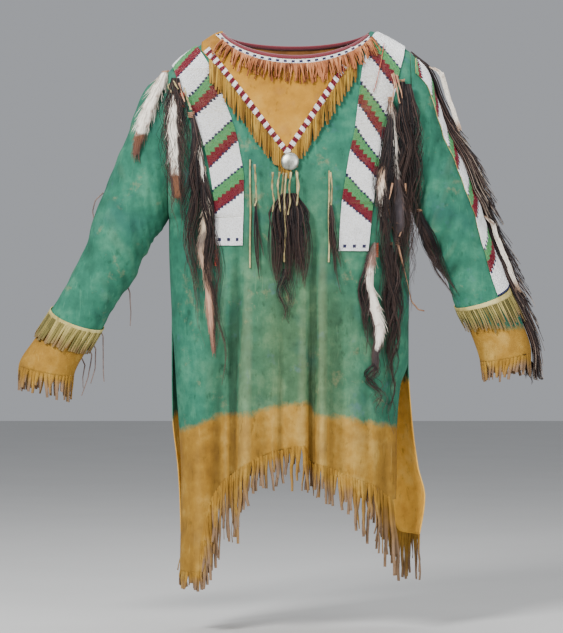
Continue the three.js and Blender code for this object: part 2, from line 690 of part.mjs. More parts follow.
// ---- Bib ----
const bibRightEdgeAt = through([
  { x: BIB.rightX, z: BIB.rightZ },
  { x: BIB.pointX, z: BIB.pointZ },
], 'x', 'z');
const bibLeftEdgeAt = through([
  { x: BIB.pointX, z: BIB.pointZ },
  { x: BIB.leftX, z: BIB.leftZ },
], 'x', 'z');
const bibBottom = (x) => (x < BIB.pointX ? bibRightEdgeAt(x) : bibLeftEdgeAt(x));
add('bib', wall((u, v, face) => {
  const x = u < 0.5 ? mix(BIB.rightX, BIB.pointX, u * 2) : mix(BIB.pointX, BIB_REACH, u * 2 - 1);
  const path = mix(topPath(x, 1) + BIB_TOP, pathTo(x, bibBottom(x)), v);
  return lifted(bodyAt, x, path, BIB_LAY + (face ? 0 : TRIM));
}, BIB_FACETS.across, BIB_FACETS.down), FINISH.bib);

// A strip along a path on the front: path(a) gives x and the way down the hide, under(u) the height over it.
function ribbon(path, from, to, under, thickness, columns, lanes = 1) {
  return wall((u, v, face) => {
    const [here, ahead, behind] = [path(v), path(Math.min(v + 0.01, 1)), path(Math.max(v - 0.01, 0))];
    const [dx, dw] = [ahead.x - behind.x, ahead.way - behind.way];
    const length = Math.hypot(dx, dw);
    const aside = mix(from, to, u);
    const [x, way] = [here.x - (dw / length) * aside, here.way + (dx / length) * aside];
    return lifted(bodyAt, x, Math.max(way, EDGE_PATH), under(u) + (face ? 0 : thickness));
  }, lanes, columns);
}
const onBib = () => ON_BIB;
const EDGE_STEP = 0.6; // how far in from an edge its band or binding starts
const ON_BIB = BIB_LAY + TRIM + LAY; // the height over the hide of what lies on the bib
const edgePath = (fromX, toX) => (a) => {
  const x = mix(fromX, toX, a);
  return { x, way: pathTo(x, bibBottom(x)) };
};
const rightBand = edgePath(BIB_BAND.rightStart, BIB.pointX - BIB_BAND.mitre);
const leftBand = edgePath(BIB.pointX + BIB_BAND.mitre, BIB_BAND.leftEnd);
const bibBand = (path) => {
  return ribbon(path, -EDGE_STEP, -EDGE_STEP - BIB_BAND.width, onBib, TRIM, BIB_BAND.facets);
};
add('bib_band_right', bibBand(rightBand), FINISH.beads);
add('bib_band_left', bibBand(leftBand), FINISH.beads);

// Fringe that hangs straight down outside the bib's edges, over the shoulder strips.
const ON_STRIP = STRIP_LAY + BEADING + FRINGE_LAY;
function bibFringe(fromX, toX) {
  return wall((u, v, face) => {
    const x = mix(fromX, toX, u);
    const z = bibBottom(x) - BIB_FRINGE.clear - BIB_FRINGE.length * v;
    return lifted(bodyAt, x, pathTo(x, z), ON_STRIP + (face ? 0 : TRIM));
  }, BIB_FRINGE.across, BIB_FRINGE.down);
}
add('bib_fringe_right', bibFringe(BIB.rightX + BIB_FRINGE.inset, BIB.pointX - SEAM), FINISH.ochre);
add('bib_fringe_left', bibFringe(BIB.pointX + SEAM, BIB_FRINGE_REACH), FINISH.ochre);

// ---- Neck: binding, beads and curled fringe ----
const NECK_WITHIN = 0.995; // the neck's path stops just short of its corners
const neckPath = (sign) => (a) => {
  const x = NECK.middle - NECK.half * NECK_WITHIN * Math.cos(Math.PI * a);
  return { x, way: Math.abs(topPath(x, sign)) };
};
const frontNeck = neckPath(1);
const part = (path, from, to) => (a) => path(mix(from, to, a));
const besideBinding = NECK_BINDING + NECK_STEP;
const besideBeads = besideBinding + NECK_BEADS + NECK_STEP;
const aroundNeck = part(frontNeck, 0.05, 0.88);
const binding = ribbon(aroundNeck, EDGE_STEP, NECK_BINDING, onBib, TRIM, NECK_COLUMNS);
add('neck_binding_front', binding, FINISH.cloth);
const beads = ribbon(aroundNeck, besideBinding, besideBinding + NECK_BEADS, onBib, TRIM, NECK_COLUMNS);
add('neck_bead_band', beads, FINISH.beads);
const ON_BANDS = ON_STRIP + TRIM + LAY;
const fringed = part(frontNeck, 0.1, 0.9);
// It is sewn beside the beads and lies over the bands below.
const overBands = (u) => mix(ON_BIB, ON_BANDS, Math.min(u * 2, 1));
const neckFringe = ribbon(fringed, besideBeads, besideBeads + NECK_FRINGE, overBands, TRIM, NECK_COLUMNS, 2);
add('neck_fringe', neckFringe, FINISH.salmon);

const backNeck = part(neckPath(-1), 0.05, 0.95);
add('neck_binding_back', wall((u, v, face) => {
  const { x, way } = backNeck(v);
  return lifted(bodyAt, x, -(way + mix(EDGE_STEP, NECK_BINDING, u)), SEAT + (face ? 0 : TRIM));
}, 1, NECK_COLUMNS), FINISH.cloth);

// ---- Domed disk where the bib's bands meet ----
const dome = [new THREE.Vector2(0, 0), new THREE.Vector2(DISK.radius, 0)];
for (let i = 0; i <= DISK.steps; i += 1) {
  const turn = (i / DISK.steps) * (Math.PI / 2);
  const rise = DISK.rim + (DISK.height - DISK.rim) * Math.sin(turn);
  dome.push(new THREE.Vector2(DISK.radius * Math.cos(turn), rise));
}
dome[dome.length - 1].x = 0;
const onFringe = ON_STRIP + TRIM + SEAT;
const diskSeat = lifted(bodyAt, DISK.x, pathTo(DISK.x, DISK.z), onFringe);
const diskOut = lifted(bodyAt, DISK.x, pathTo(DISK.x, DISK.z), onFringe + 1).sub(diskSeat);
const diskShape = new THREE.LatheGeometry(dome, DISK.sides);
diskShape.applyQuaternion(new THREE.Quaternion().setFromUnitVectors(new THREE.Vector3(0, 1, 0), diskOut));
diskShape.translate(...diskSeat.toArray());
add('disk', diskShape, FINISH.disk);

// ---- What hangs against the shirt ----
// The foremost y of all that is built so far, at x and z.
const BEFORE_ALL = -600; // further forward than anything
const ray = new THREE.Raycaster();
function frontOf(x, z) {
  ray.set(new THREE.Vector3(x, BEFORE_ALL, z), new THREE.Vector3(0, 1, 0));
  const hit = ray.intersectObjects(built, false)[0];
  return hit ? hit.point.y : 0;
}

// The foremost y within a reach to each side and up and down.
function frontNear(x, z, aside, up) {
  const near = [-1, -0.5, 0, 0.5, 1];
  const across = aside ? near : [0];
  return Math.min(...across.flatMap((a) => near.map((b) => frontOf(x + a * aside, z + b * up))));
}

function lock(rows) {
  const downward = rows.map((row) => ({ ...row, down: -row.z }));
  const curves = ['x', 'half', 'thick'].map((key) => through(downward, 'down', key));
  const [first, last] = [rows[0].z, rows[rows.length - 1].z];
  const count = Math.ceil((rows.length - 1) * LOCK_RINGS);
  const rings = [];
  for (let j = 0; j <= count + 1; j += 1) {
    const tied = j === 0; // the topmost ring, where the lock is tied to the hide
    const z = tied ? first : mix(first - LOCK_TIE, last, (j - 1) / count);
    const [x, half, thick] = curves.map((curve) => curve(-z));
    const reach = tied ? 0 : Math.abs(first - last) / count / 2;
    const behind = Array.from({ length: 2 * LOCK_FEEL + 1 }, (_, i) => {
      const aside = i / LOCK_FEEL - 1;
      return frontNear(x + half * aside, z, 0, reach) - thick * Math.sqrt(1 - aside * aside);
    });
    const y = Math.min(...behind) - (tied ? SEAT : LOCK_GAP);
    rings.push(Array.from({ length: LOCK_SIDES }, (_, i) => {
      const turn = (i / LOCK_SIDES) * 2 * Math.PI;
      return new THREE.Vector3(x + half * Math.cos(turn), y + thick * Math.sin(turn), z);
    }));
  }
  return loft(rings);
}

function thong({ width, points }) {
  const route = points.map(({ x, z }, i) => {
    const [reach, gap] = i === 0 ? [THONG_REACH / 4, SEAT] : [THONG_REACH, THONG_GAP];
    return new THREE.Vector3(x, frontNear(x, z, width / 2, reach) - gap - width / 2, z);
  });
  const curve = new THREE.CatmullRomCurve3(route, false, 'centripetal');
  const section = new THREE.Shape(Array.from({ length: THONG_SIDES }, (_, i) => {
    const turn = (i / THONG_SIDES) * 2 * Math.PI;
    return new THREE.Vector2((width / 2) * Math.cos(turn), (width / 2) * Math.sin(turn));
  }));
  const steps = Math.round(curve.getLength() / (width * THONG_STEP));
  return new THREE.ExtrudeGeometry(section, { steps, extrudePath: curve });
}
for (const [name, table] of Object.entries(THONGS)) add(name, thong(table), FINISH.thong);
for (const [name, rows] of Object.entries(LOCKS)) {
  add(name, lock(rows), name.startsWith('ermine') ? FINISH.ermine : FINISH.hair);
}

// ---- Hair along the left sleeve's outer edge ----
const sleeveHair = SLEEVE_HAIR.map(({ ring, half, thick, off }) => {
  const middle = offSleeve('left', ring, 0, half + off);
  const out = offSleeve('left', ring, 0, half + off + 1).sub(middle);
  middle.y += SLEEVE_HAIR_BACK;
  return Array.from({ length: LOCK_SIDES }, (_, i) => {
    const turn = (i / LOCK_SIDES) * 2 * Math.PI;
    const point = middle.clone().addScaledVector(out, half * Math.cos(turn));
    point.y += thick * Math.sin(turn);
    return point;
  });
});
add('sleeve_hair_left', loft(sleeveHair), FINISH.hair);

export default shirt;
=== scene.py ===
import math
from functools import partial

import bpy
import numpy as np
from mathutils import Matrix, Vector
from mathutils.bvhtree import BVHTree


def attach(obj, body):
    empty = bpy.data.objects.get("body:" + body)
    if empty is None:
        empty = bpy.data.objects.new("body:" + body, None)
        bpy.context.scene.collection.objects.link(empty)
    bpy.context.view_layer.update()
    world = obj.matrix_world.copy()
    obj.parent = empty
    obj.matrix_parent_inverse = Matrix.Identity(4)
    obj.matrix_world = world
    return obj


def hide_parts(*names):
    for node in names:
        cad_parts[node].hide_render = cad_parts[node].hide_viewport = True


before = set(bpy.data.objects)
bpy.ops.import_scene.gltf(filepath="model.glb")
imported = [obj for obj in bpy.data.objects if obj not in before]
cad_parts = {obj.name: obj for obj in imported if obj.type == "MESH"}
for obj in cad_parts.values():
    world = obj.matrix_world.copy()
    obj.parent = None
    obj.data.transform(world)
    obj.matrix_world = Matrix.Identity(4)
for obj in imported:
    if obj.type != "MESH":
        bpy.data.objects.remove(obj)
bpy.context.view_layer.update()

# ---------------------------------------------------------------- camera
# A long lens stands level with the shirt's middle and square to its front.
MM = 0.001
VIEW = {"x": -22 * MM, "z": -570 * MM, "height": 1329 * MM, "distance": 6.0, "sensor": 24, "chest": 110 * MM}


def added(name, data):
    """A new object in the scene."""
    thing = bpy.data.objects.new(name, data)
    bpy.context.scene.collection.objects.link(thing)
    return thing


camera = added("camera", bpy.data.cameras.new("camera"))
camera.location = (VIEW["x"], -VIEW["distance"], VIEW["z"])
camera.rotation_euler = (math.pi / 2, 0, 0)
camera.data.sensor_fit = "VERTICAL"
camera.data.sensor_height = VIEW["sensor"]
camera.data.lens = VIEW["sensor"] * (VIEW["distance"] - VIEW["chest"]) / VIEW["height"]
bpy.context.scene.camera = camera


# ---------------------------------------------------------------- thongs
# Four narrow hide thongs, cut from the same skin as the fringes. Each is knotted through a hole in the
# hide or behind the disk, and hangs free down the chest.
class Sock:
    """A socket of a node tree, with the arithmetic of its numbers."""

    def __init__(self, tree, socket):
        self.tree, self.socket = tree, socket

    def at(self, name):
        return Sock(self.tree, next(s for s in self.socket.node.outputs if s.enabled and s.name == name))

    def maths(self, operation, one, other):
        return self.tree.make("ShaderNodeMath", {"operation": operation}, one, other)

    def __add__(self, other):
        return self.maths("ADD", self, other)

    def __sub__(self, other):
        return self.maths("SUBTRACT", self, other)

    def __rsub__(self, other):
        return self.maths("SUBTRACT", other, self)

    def __mul__(self, other):
        return self.maths("MULTIPLY", self, other)

    __radd__ = __add__
    __rmul__ = __mul__


class Tree:
    """A node tree that is built one node at a time. A look's tree also knows where on the piece it is."""

    def __init__(self, tree):
        self.tree = tree

    def make(self, kind, settings=None, *values, **named):
        node = self.tree.nodes.new(kind)
        for key, value in (settings or {}).items():
            if key == "stops":
                ramp = node.color_ramp
                while len(ramp.elements) < len(value):
                    ramp.elements.new(1)
                for element, (place, colour) in zip(ramp.elements, value):
                    element.position = place
                    element.color = colour
            else:
                setattr(node, key, value)
        live = [s for s in node.inputs if s.enabled]
        for socket, value in zip(live, values):
            self.feed(socket, value)
        for key, value in named.items():
            name = key.replace("_", " ")
            self.feed(next(s for s in live if s.name == name), value)
        out = [s for s in node.outputs if s.enabled]
        return Sock(self, out[0]) if out else node

    def feed(self, socket, value):
        if isinstance(value, Sock):
            self.tree.links.new(value.socket, socket)
        elif value is not None:
            socket.default_value = value

    def blend(self, factor, a, b, how="MIX"):
        return self.make("ShaderNodeMix", {"data_type": "RGBA", "blend_type": how}, factor, a, b)

    def place(self, stretch=None):
        return self.make("ShaderNodeMapping", None, self.where, Scale=stretch) if stretch else self.where

    def noise(self, scale, detail=3.0, roughness=0.55, stretch=None):
        place = self.place(stretch)
        return self.make("ShaderNodeTexNoise", None, place, Scale=scale, Detail=detail, Roughness=roughness)

    def ramp(self, factor, *stops):
        return self.make("ShaderNodeValToRGB", {"stops": stops}, factor)

    def between(self, value, low, high, to_low=0.0, to_high=1.0):
        return self.make("ShaderNodeMapRange", None, value, low, high, to_low, to_high)

    def attribute(self, name):
        return self.make("ShaderNodeAttribute", {"attribute_name": name}).at("Fac")

    def patched(self, colour, patch, mark, low, high, most):
        """The colour, with another one over it where a mark lies between low and high."""
        return self.blend(self.between(mark, low, high, 0, most), colour, patch)

    def carried(self, name, kind="FLOAT"):
        return self.make("GeometryNodeInputNamedAttribute", {"data_type": kind}, name)


def tint(red, green, blue):
    """A colour from its screen values, as light."""
    lit = [c / 255 for c in (red, green, blue)]
    return (*[c / 12.92 if c <= 0.04045 else ((c + 0.055) / 1.055) ** 2.4 for c in lit], 1)


def finish(build, name=None):
    """Turns a function into the material that it tells of: it gives the Principled BSDF's sockets."""
    material = bpy.data.materials.new(name or build.__name__)
    material.use_nodes = True
    material.node_tree.nodes.clear()
    tree = Tree(material.node_tree)
    tree.where = tree.make("ShaderNodeTexCoord").at("Object")
    shader = tree.make("ShaderNodeBsdfPrincipled", None, **build(tree))
    tree.make("ShaderNodeOutputMaterial", None, shader)
    return material


def bump(tree, height, strength, distance):
    return tree.make("ShaderNodeBump", None, Strength=strength, Distance=distance, Height=height)


@finish
def thong_hide(tree):
    mottle = tree.noise(60, 4)
    twist = tree.make("ShaderNodeTexWave", None, tree.place((1, 1, 0.6)), Scale=28, Distortion=3)
    colour = tree.ramp(mottle, (0.3, tint(130, 112, 66)), (0.7, tint(204, 190, 138)))
    colour = tree.blend(twist * 0.45, colour, tint(104, 84, 50))
    return {"Base Color": colour, "Roughness": 0.85, "Normal": bump(tree, twist, 0.6, 0.0008)}


def root(piece, slot, *nodes):
    """Fix a piece to the shirt's one body, in place of its CAD solids."""
    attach(piece, "root")
    if nodes:
        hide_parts(*nodes)
    return piece


THONG_WIDTH = 3.6 * MM
THONGS = {
    "thong_center_right": [
        (-0.0180, -0.1283, -0.269), (-0.0190, -0.1295, -0.284), (-0.0210, -0.1212, -0.305),
        (-0.0240, -0.1222, -0.350), (-0.0260, -0.1225, -0.400), (-0.0280, -0.1221, -0.456),
    ],
    "thong_center_left": [
        (0.0090, -0.1278, -0.265), (0.0100, -0.1208, -0.284), (0.0110, -0.1212, -0.305),
        (0.0130, -0.1222, -0.350), (0.0150, -0.1225, -0.400), (0.0170, -0.1223, -0.448),
    ],
    "thong_chest_right": [
        (-0.0880, -0.1146, -0.241), (-0.0880, -0.1187, -0.290), (-0.0870, -0.1188, -0.350),
        (-0.0880, -0.1181, -0.410), (-0.0880, -0.1171, -0.468),
    ],
    "thong_chest_left": [
        (0.0780, -0.1154, -0.264), (0.0780, -0.1179, -0.310), (0.0770, -0.1176, -0.360),
        (0.0780, -0.1178, -0.410), (0.0770, -0.1180, -0.456),
    ],
}
for name, route in THONGS.items():
    line = bpy.data.curves.new(name, "CURVE")
    line.dimensions = "3D"
    line.bevel_depth = THONG_WIDTH / 2
    line.bevel_resolution = 3
    line.use_fill_caps = True
    spline = line.splines.new("BEZIER")
    spline.bezier_points.add(len(route) - 1)
    for point, place in zip(spline.bezier_points, route):
        point.co = place
        point.handle_left_type = point.handle_right_type = "AUTO"
    line.materials.append(thong_hide)
    thong = root(added(f"{name}_hide", line), "pale_hide", name)


# ---------------------------------------------------------------- front and back
# Two whole tanned hides, sewn along the shoulders and sides and left open below as slits. They are rubbed
# with green earth paint above and ochre below, and their hems keep the skin's natural arch.
HIDE = 2.2 * MM
SEAM = 0.3 * MM
EDGE_PATH = 0.3 * MM
SHOULDER_DROP, SHOULDER_PATH, LEVEL_PATH = 150 * MM, 215 * MM, 320 * MM
SLIT = {"top": 668 * MM, "reach": 450 * MM, "gap": 14 * MM}
SIDE_SPREAD = 0.4
FOLD_REACH = 460 * MM
LONGEST_WAY, HALVINGS = 1.4, 34  # how far down a hide is searched, and how finely
NEAR = 0.6 * MM  # how far apart the places are that a surface's facing is taken from
RIDGE = [  # x, z
    (-262, -46), (-240, -22), (-197, 9), (-147, 36), (16, 46), (168, 40), (195, 29), (227, 12), (252, -4),
]
FRONT_FORM = [  # drop, left, right, depth
    (0, 252, -262.5, 104), (150, 252, -262.5, 106), (300, 252, -262.5, 118), (400, 252, -262.5, 120),
    (577, 250, -256, 118), (668, 248, -250, 120), (720, 232, -247, 122), (808, 225, -241, 124),
    (913, 224, -236, 124), (1113, 210, -239, 116),
]
BACK_FORM = [  # drop, left, right, depth
    (0, 252, -262.5, 100), (150, 252, -262.5, 102), (300, 252, -262.5, 112), (400, 252, -262.5, 112),
    (577, 250, -257, 110), (668, 250, -257, 114), (780, 257, -256, 118), (890, 271, -245, 120),
    (955, 286, -241, 120), (1060, 271, -238, 112),
]
FRONT_FOLDS = [  # x above, x at the hem, drop where it starts, width, height
    (-112, -160, 400, 24, -38), (-72, -100, 420, 28, 20), (-10, -22, 560, 30, -6), (42, 40, 400, 9, -15),
    (58, 62, 380, 16, 12), (150, 150, 600, 34, 8), (205, 200, 520, 18, -28),
    (-96, -128, 360, 8, -9), (-44, -60, 600, 12, -3), (-14, -16, 480, 7, 4), (104, 112, 460, 12, -3),
    (-200, -206, 560, 14, 5), (-30, -40, 400, 11, 3),
    (48, 46, 280, 9, -15), (64, 61, 280, 13, 9), (-118, -122, 290, 12, -15), (-97, -100, 300, 14, 9),
    (-20, -24, 340, 9, -5), (96, 102, 320, 12, -4), (152, 160, 360, 12, -5),
]
BACK_FOLDS = [
    (-140, -165, 500, 34, 16), (-60, -70, 430, 30, -16), (30, 40, 480, 36, 14), (120, 130, 520, 28, -15),
    (-100, -110, 520, 14, -4), (70, 84, 460, 12, 4), (160, 176, 560, 16, 4),
]
ARMHOLES = {  # side: x, top, bottom, half depth
    "right": (-262.5, -46, -361, 80),
    "left": (252, -4, -332, 82),
}
NECK = {"middle": 10 * MM, "half": 157 * MM, "front": 68 * MM, "back": 34 * MM, "power": 0.7}
FRONT_HEM = [  # x, z, reach of the fringe
    (-239, -1113, 36), (-190, -1113, 40), (-183, -1014, 120), (-162, -943, 160), (-130, -905, 170),
    (-112, -892, 150), (-82, -874, 85), (-34, -853, 80), (24, -844, 95), (40, -876, 70), (82, -890, 84),
    (120, -909, 96), (172, -928, 130), (212, -958, 180),
]
BACK_HEM = [
    (-238, -1050, 70), (-190, -1050, 80), (-160, -930, 90), (-80, -850, 80), (0, -822, 75), (90, -845, 75),
    (160, -900, 85), (205, -965, 100), (236, -1035, 104), (286, -1040, 104),
]
FRONT_PAINT = [  # x, height where the green paint gives way to the ochre
    (-262, -812), (-235, -811), (-187, -792), (-130, -775), (-90, -777), (-60, -765), (0, -754), (38, -752),
    (46, -775), (98, -781), (204, -800), (252, -806),
]
BACK_PAINT = [(-262, -790), (-120, -770), (40, -765), (180, -745), (224, -708), (286, -705)]


def through(rows, column):
    """A smooth curve through a table of millimetres that never overshoots its rows."""
    at = np.array([row[0] for row in rows]) * MM
    value = np.array([row[column] for row in rows]) * MM
    slope = np.diff(value) / np.diff(at)
    product, total = slope[:-1] * slope[1:], slope[:-1] + slope[1:]
    inner = np.where(product > 0, 2 * product / np.where(product > 0, total, 1), 0)
    tangent = np.concatenate([slope[:1], inner, slope[-1:]])

    def curve(x):
        x = np.clip(x, at[0], at[-1])
        i = np.clip(np.searchsorted(at, x, side="right") - 1, 0, len(slope) - 1)
        span, rise = at[i + 1] - at[i], value[i + 1] - value[i]
        t = (x - at[i]) / span
        bend = (1 - t) * (tangent[i] * span - rise) - t * (tangent[i + 1] * span - rise)
        return value[i] + t * rise + t * (1 - t) * bend

    return curve


def curves(rows, *columns):
    return [through(rows, column) for column in columns]


def eased(value, low, high):
    """0 below the low value and 1 above the high one, with a smooth rise between them."""
    t = np.clip((value - low) / (high - low), 0, 1)
    return t * t * (3 - 2 * t)


ridge_at = through(RIDGE, 1)
SIDES = {
    1: {"form": curves(FRONT_FORM, 1, 2, 3), "folds": FRONT_FOLDS},
    -1: {"form": curves(BACK_FORM, 1, 2, 3), "folds": BACK_FOLDS},
}


def drop_at(path):
    """How far a way over the shoulder and down has fallen."""
    way = np.abs(path)
    turned = SHOULDER_DROP * (1 - np.cos(np.minimum(way / SHOULDER_PATH, 1) * math.pi / 2))
    return turned + np.maximum(way - SHOULDER_PATH, 0)


def slack(x, z, sign):
    """The small dents and ripples of soft hide."""
    long = np.sin(41 * x + 3 * z + sign) * np.sin(7 * z + 2.1 * sign) + 0.7 * np.sin(67 * x - 5 * z + 2)
    short = np.sin(19 * z + 13 * x + 4 * sign) * np.sin(29 * x - 11 * z)
    return (1.3 * long * eased(-z, 0.25, 0.6) + 1.5 * short * eased(-z, 0.1, 0.3)) * MM


def one_side(x, path, sign):
    """The front (1) or the back (-1), with its armholes, slits and folds."""
    left_at, right_at, depth_at = SIDES[sign]["form"]
    drop = drop_at(path)
    left, right = left_at(drop), right_at(drop)
    half = (left - right) / 2
    across = np.clip((x - right - half) / half, -1, 1)
    on_hide = right + half + across * half
    level = ridge_at(on_hide) * (1 - eased(np.abs(path), 0, LEVEL_PATH)) - drop
    turn = np.minimum(np.abs(path) / SHOULDER_PATH, 1) * math.pi / 2
    depth = depth_at(np.maximum(drop, SHOULDER_DROP)) * np.sin(turn)
    hole = [np.where(across < 0, r, l) * MM for r, l in zip(ARMHOLES["right"], ARMHOLES["left"])]
    reach = (level - (hole[1] + hole[2]) / 2) / ((hole[1] - hole[2]) / 2)
    oval = hole[3] * np.sqrt(np.maximum(0, 1 - reach * reach))
    slit = SLIT["gap"] * eased(-level, SLIT["top"], SLIT["top"] + SLIT["reach"])
    edge = np.maximum(np.maximum(oval, SEAM / 2), slit)
    bulge = np.power(1 - across * across, SIDE_SPREAD)
    fold = slack(on_hide, level, sign)
    for top_x, hem_x, top, width, height in SIDES[sign]["folds"]:
        grown = eased(drop, top * MM, top * MM + FOLD_REACH)
        off = (on_hide - (top_x + (hem_x - top_x) * grown) * MM) / (width * MM)
        fold = fold + height * MM * grown * np.exp(-off * off)
    out = edge + (depth - edge) * bulge + fold * bulge
    return np.stack([on_hide, -sign * out, level], axis=-1)


def body(x, path):
    """The hide at x, after a way down the front (positive) or the back (negative)."""
    x, path = np.broadcast_arrays(np.asarray(x, float), np.asarray(path, float))
    front = (path >= 0)[..., None]
    return np.where(front, one_side(x, path, 1), one_side(x, path, -1))


def way_to(x, z, sign=1):
    """The way down at which the hide at x reaches the height z."""
    x, z = np.broadcast_arrays(np.asarray(x, float), np.asarray(z, float))
    near, far = np.zeros(x.shape), np.full(x.shape, LONGEST_WAY)
    for _ in range(HALVINGS):
        middle = (near + far) / 2
        above = body(x, sign * middle)[..., 2] > z
        near, far = np.where(above, middle, near), np.where(above, far, middle)
    return sign * near


def normals(x, path):
    """The way that the hide faces."""
    along = body(x + NEAR, path) - body(x - NEAR, path)
    down = body(x, path + NEAR) - body(x, path - NEAR)
    normal = np.cross(down, along)
    return normal / np.linalg.norm(normal, axis=-1, keepdims=True)


def lifted(x, path, off):
    """Points moved off the hide."""
    return body(x, path) + normals(x, path) * np.asarray(off)[..., None]


def neck_way(x, sign):
    """The way down at which the neck's edge lies."""
    across = np.clip((x - NECK["middle"]) / NECK["half"], -1, 1)
    depth = NECK["front"] if sign > 0 else NECK["back"]
    z = ridge_at(x) - depth * np.power(1 - across * across, NECK["power"])
    return sign * np.maximum(np.abs(way_to(x, z, sign)), EDGE_PATH)


FIELDS = {"FLOAT": "value", "FLOAT_VECTOR": "vector", "FLOAT_COLOR": "color"}
backing = []  # what hair and fringes can lie against


def meshed(name, points, edges=(), faces=()):
    """A mesh of rows of points."""
    mesh = bpy.data.meshes.new(name)
    mesh.from_pydata(np.reshape(points, (-1, 3)).tolist(), np.asarray(edges).tolist(), list(faces))
    return mesh


def mark(mesh, kind, marks, shape):
    """Values that the points of a mesh carry, for its looks and its node group."""
    for name, values in marks.items():
        layer = mesh.attributes.new(name, kind, "POINT")
        layer.data.foreach_set(FIELDS[kind], np.broadcast_to(values, shape).astype(np.float32).ravel())


def squares(rows, wide, closed):
    """The faces between rows of points, each row as wide as the others."""
    i, j = np.meshgrid(np.arange(wide if closed else wide - 1), np.arange(rows - 1))
    near, far = j * wide + i, j * wide + (i + 1) % wide
    return np.stack([near, near + wide, far + wide, far], axis=-1).reshape(-1, 4)


def cloth(name, points, materials, closed=False, turned=False, thickness=HIDE, **marks):
    """A piece of cloth through a grid of points, with its wall and its inner side behind them."""
    quads = squares(*points.shape[:2], closed)
    if turned:
        quads = quads[:, ::-1]
    mesh = meshed(name, points, faces=quads.tolist())
    mark(mesh, "FLOAT", marks, points.shape[:2])
    mesh.shade_smooth()
    for material in materials:
        mesh.materials.append(material)
    piece = added(name, mesh)
    backing.append((points.reshape(-1, 3), quads))
    wall = piece.modifiers.new("wall", "SOLIDIFY")
    wall.thickness = thickness
    wall.offset = -1
    wall.use_even_offset = False
    wall.material_offset = wall.material_offset_rim = len(materials) - 1
    return piece


def panel_grid(sign, hem, columns, rows):
    """x and the way down at each point of a panel."""
    hem_at = through(hem, 1)
    left_at, right_at, _ = SIDES[sign]["form"]
    across = (np.sin(np.linspace(-0.5, 0.5, columns + 1) * math.pi) + 1) / 2

    def x_at(path):
        drop = drop_at(path)
        return right_at(drop) + (left_at(drop) - right_at(drop)) * across

    top = bottom = np.zeros(columns + 1)
    for _ in range(6):
        top = neck_way(x_at(top), sign)
        bottom = way_to(x_at(bottom), hem_at(x_at(bottom)), sign)
    path = top + (bottom - top) * np.linspace(0, 1, rows + 1)[:, None]
    return x_at(path), path


GREEN = [tint(28, 76, 62), tint(42, 104, 84), tint(70, 132, 106)]
OLIVE = [tint(48, 70, 46), tint(72, 98, 66), tint(110, 128, 88)]
OCHRE = [tint(116, 82, 28), tint(146, 108, 38), tint(176, 142, 70)]
# The inner side is really ochre below its paint line, but this ochre is painted much lighter than the outer
# one: painted light, so that the inner side looks lit where it lies in shade.
INNER_OCHRE_WITH_PAINTED_LIGHT = [tint(176, 122, 44), tint(222, 166, 66), tint(236, 192, 102)]


def suede(tree, colour):
    """Soft tanned skin: its nap, scars and rubbed places."""
    nap = tree.noise(900, 2, 0.7)
    crease = tree.noise(80, 5, 0.6, stretch=(1, 1, 0.5))
    dent = tree.noise(26, 4)
    colour = tree.blend(tree.between(crease, 0.4, 0.3) * 0.35, colour, tint(92, 84, 60), "MULTIPLY")
    colour = tree.blend(tree.between(nap, 0.3, 0.7, 0, 0.2), colour, tint(226, 222, 196), "OVERLAY")
    height = nap * 0.12 + crease * 0.5 + dent * 0.9
    return {
        "Base Color": colour,
        "Roughness": tree.between(crease, 0.2, 0.8, 0.97, 0.8),
        "Normal": bump(tree, height, 0.6, 0.0026),
        "Specular IOR Level": 0.25,
    }


def earth_paint(tree, shades):
    """Paint rubbed by hand into a hide: soft clouds, rubbed streaks, darker specks and pale scratches."""
    cloud = tree.noise(11, 5, 0.6)
    small = tree.noise(38, 4, 0.6)
    streak = tree.noise(34, 3, 0.6, stretch=(1, 1, 0.3))
    speck = tree.noise(75, 3, 0.6)
    scratch = tree.noise(150, 2, stretch=(1, 1, 0.12))
    dark, middle, light = shades
    mixed = cloud * 0.42 + small * 0.36 + streak * 0.22
    colour = tree.ramp(mixed, (0.33, dark), (0.5, middle), (0.67, light))
    colour = tree.patched(colour, dark, speck, 0.58, 0.76, 0.3)
    return tree.patched(colour, light, scratch, 0.64, 0.72, 0.35)


@finish
def painted_hide(tree):
    part = tree.make("ShaderNodeSeparateXYZ", None, tree.where)
    aside = tree.make("ShaderNodeMath", {"operation": "ABSOLUTE"}, part.at("X") - 0.01)
    low = tree.between(part.at("Z"), -0.2, -0.6)
    worn = tree.between(aside + tree.noise(10, 4) * 0.16, 0.3, 0.12) * low
    green = tree.blend(worn * 0.75, earth_paint(tree, GREEN), earth_paint(tree, OLIVE))
    green = tree.patched(green, tint(36, 84, 80), tree.noise(9, 3), 0.55, 0.72, 0.5)
    green = tree.patched(green, tint(76, 104, 128), tree.noise(17, 4, 0.7), 0.6, 0.76, 0.4)
    green = tree.patched(green, tint(146, 134, 96), tree.noise(21, 5, 0.7), 0.6, 0.74, 0.45)
    ochre = earth_paint(tree, OCHRE)
    ochre = tree.patched(ochre, tint(108, 84, 50), tree.noise(16, 4), 0.55, 0.75, 0.35)
    wander = tree.noise(45, 4, 0.6) * 26 + tree.noise(300, 2) * 10
    edge = tree.between(tree.attribute("ochre") + wander - 18, -7, 7)
    colour = tree.blend(edge, green, ochre)
    # Painted shade and painted highlight: the crease mark darkens the paint in fold valleys and lightens it
    # on fold ridges.
    crease = tree.attribute("crease")
    colour = tree.blend(tree.between(crease, 0.1, 1, 0, 0.5), colour, tint(96, 88, 62), "MULTIPLY")
    colour = tree.blend(tree.between(crease, -0.2, -1, 0, 0.1), colour, tint(170, 166, 120), "SCREEN")
    return suede(tree, colour)


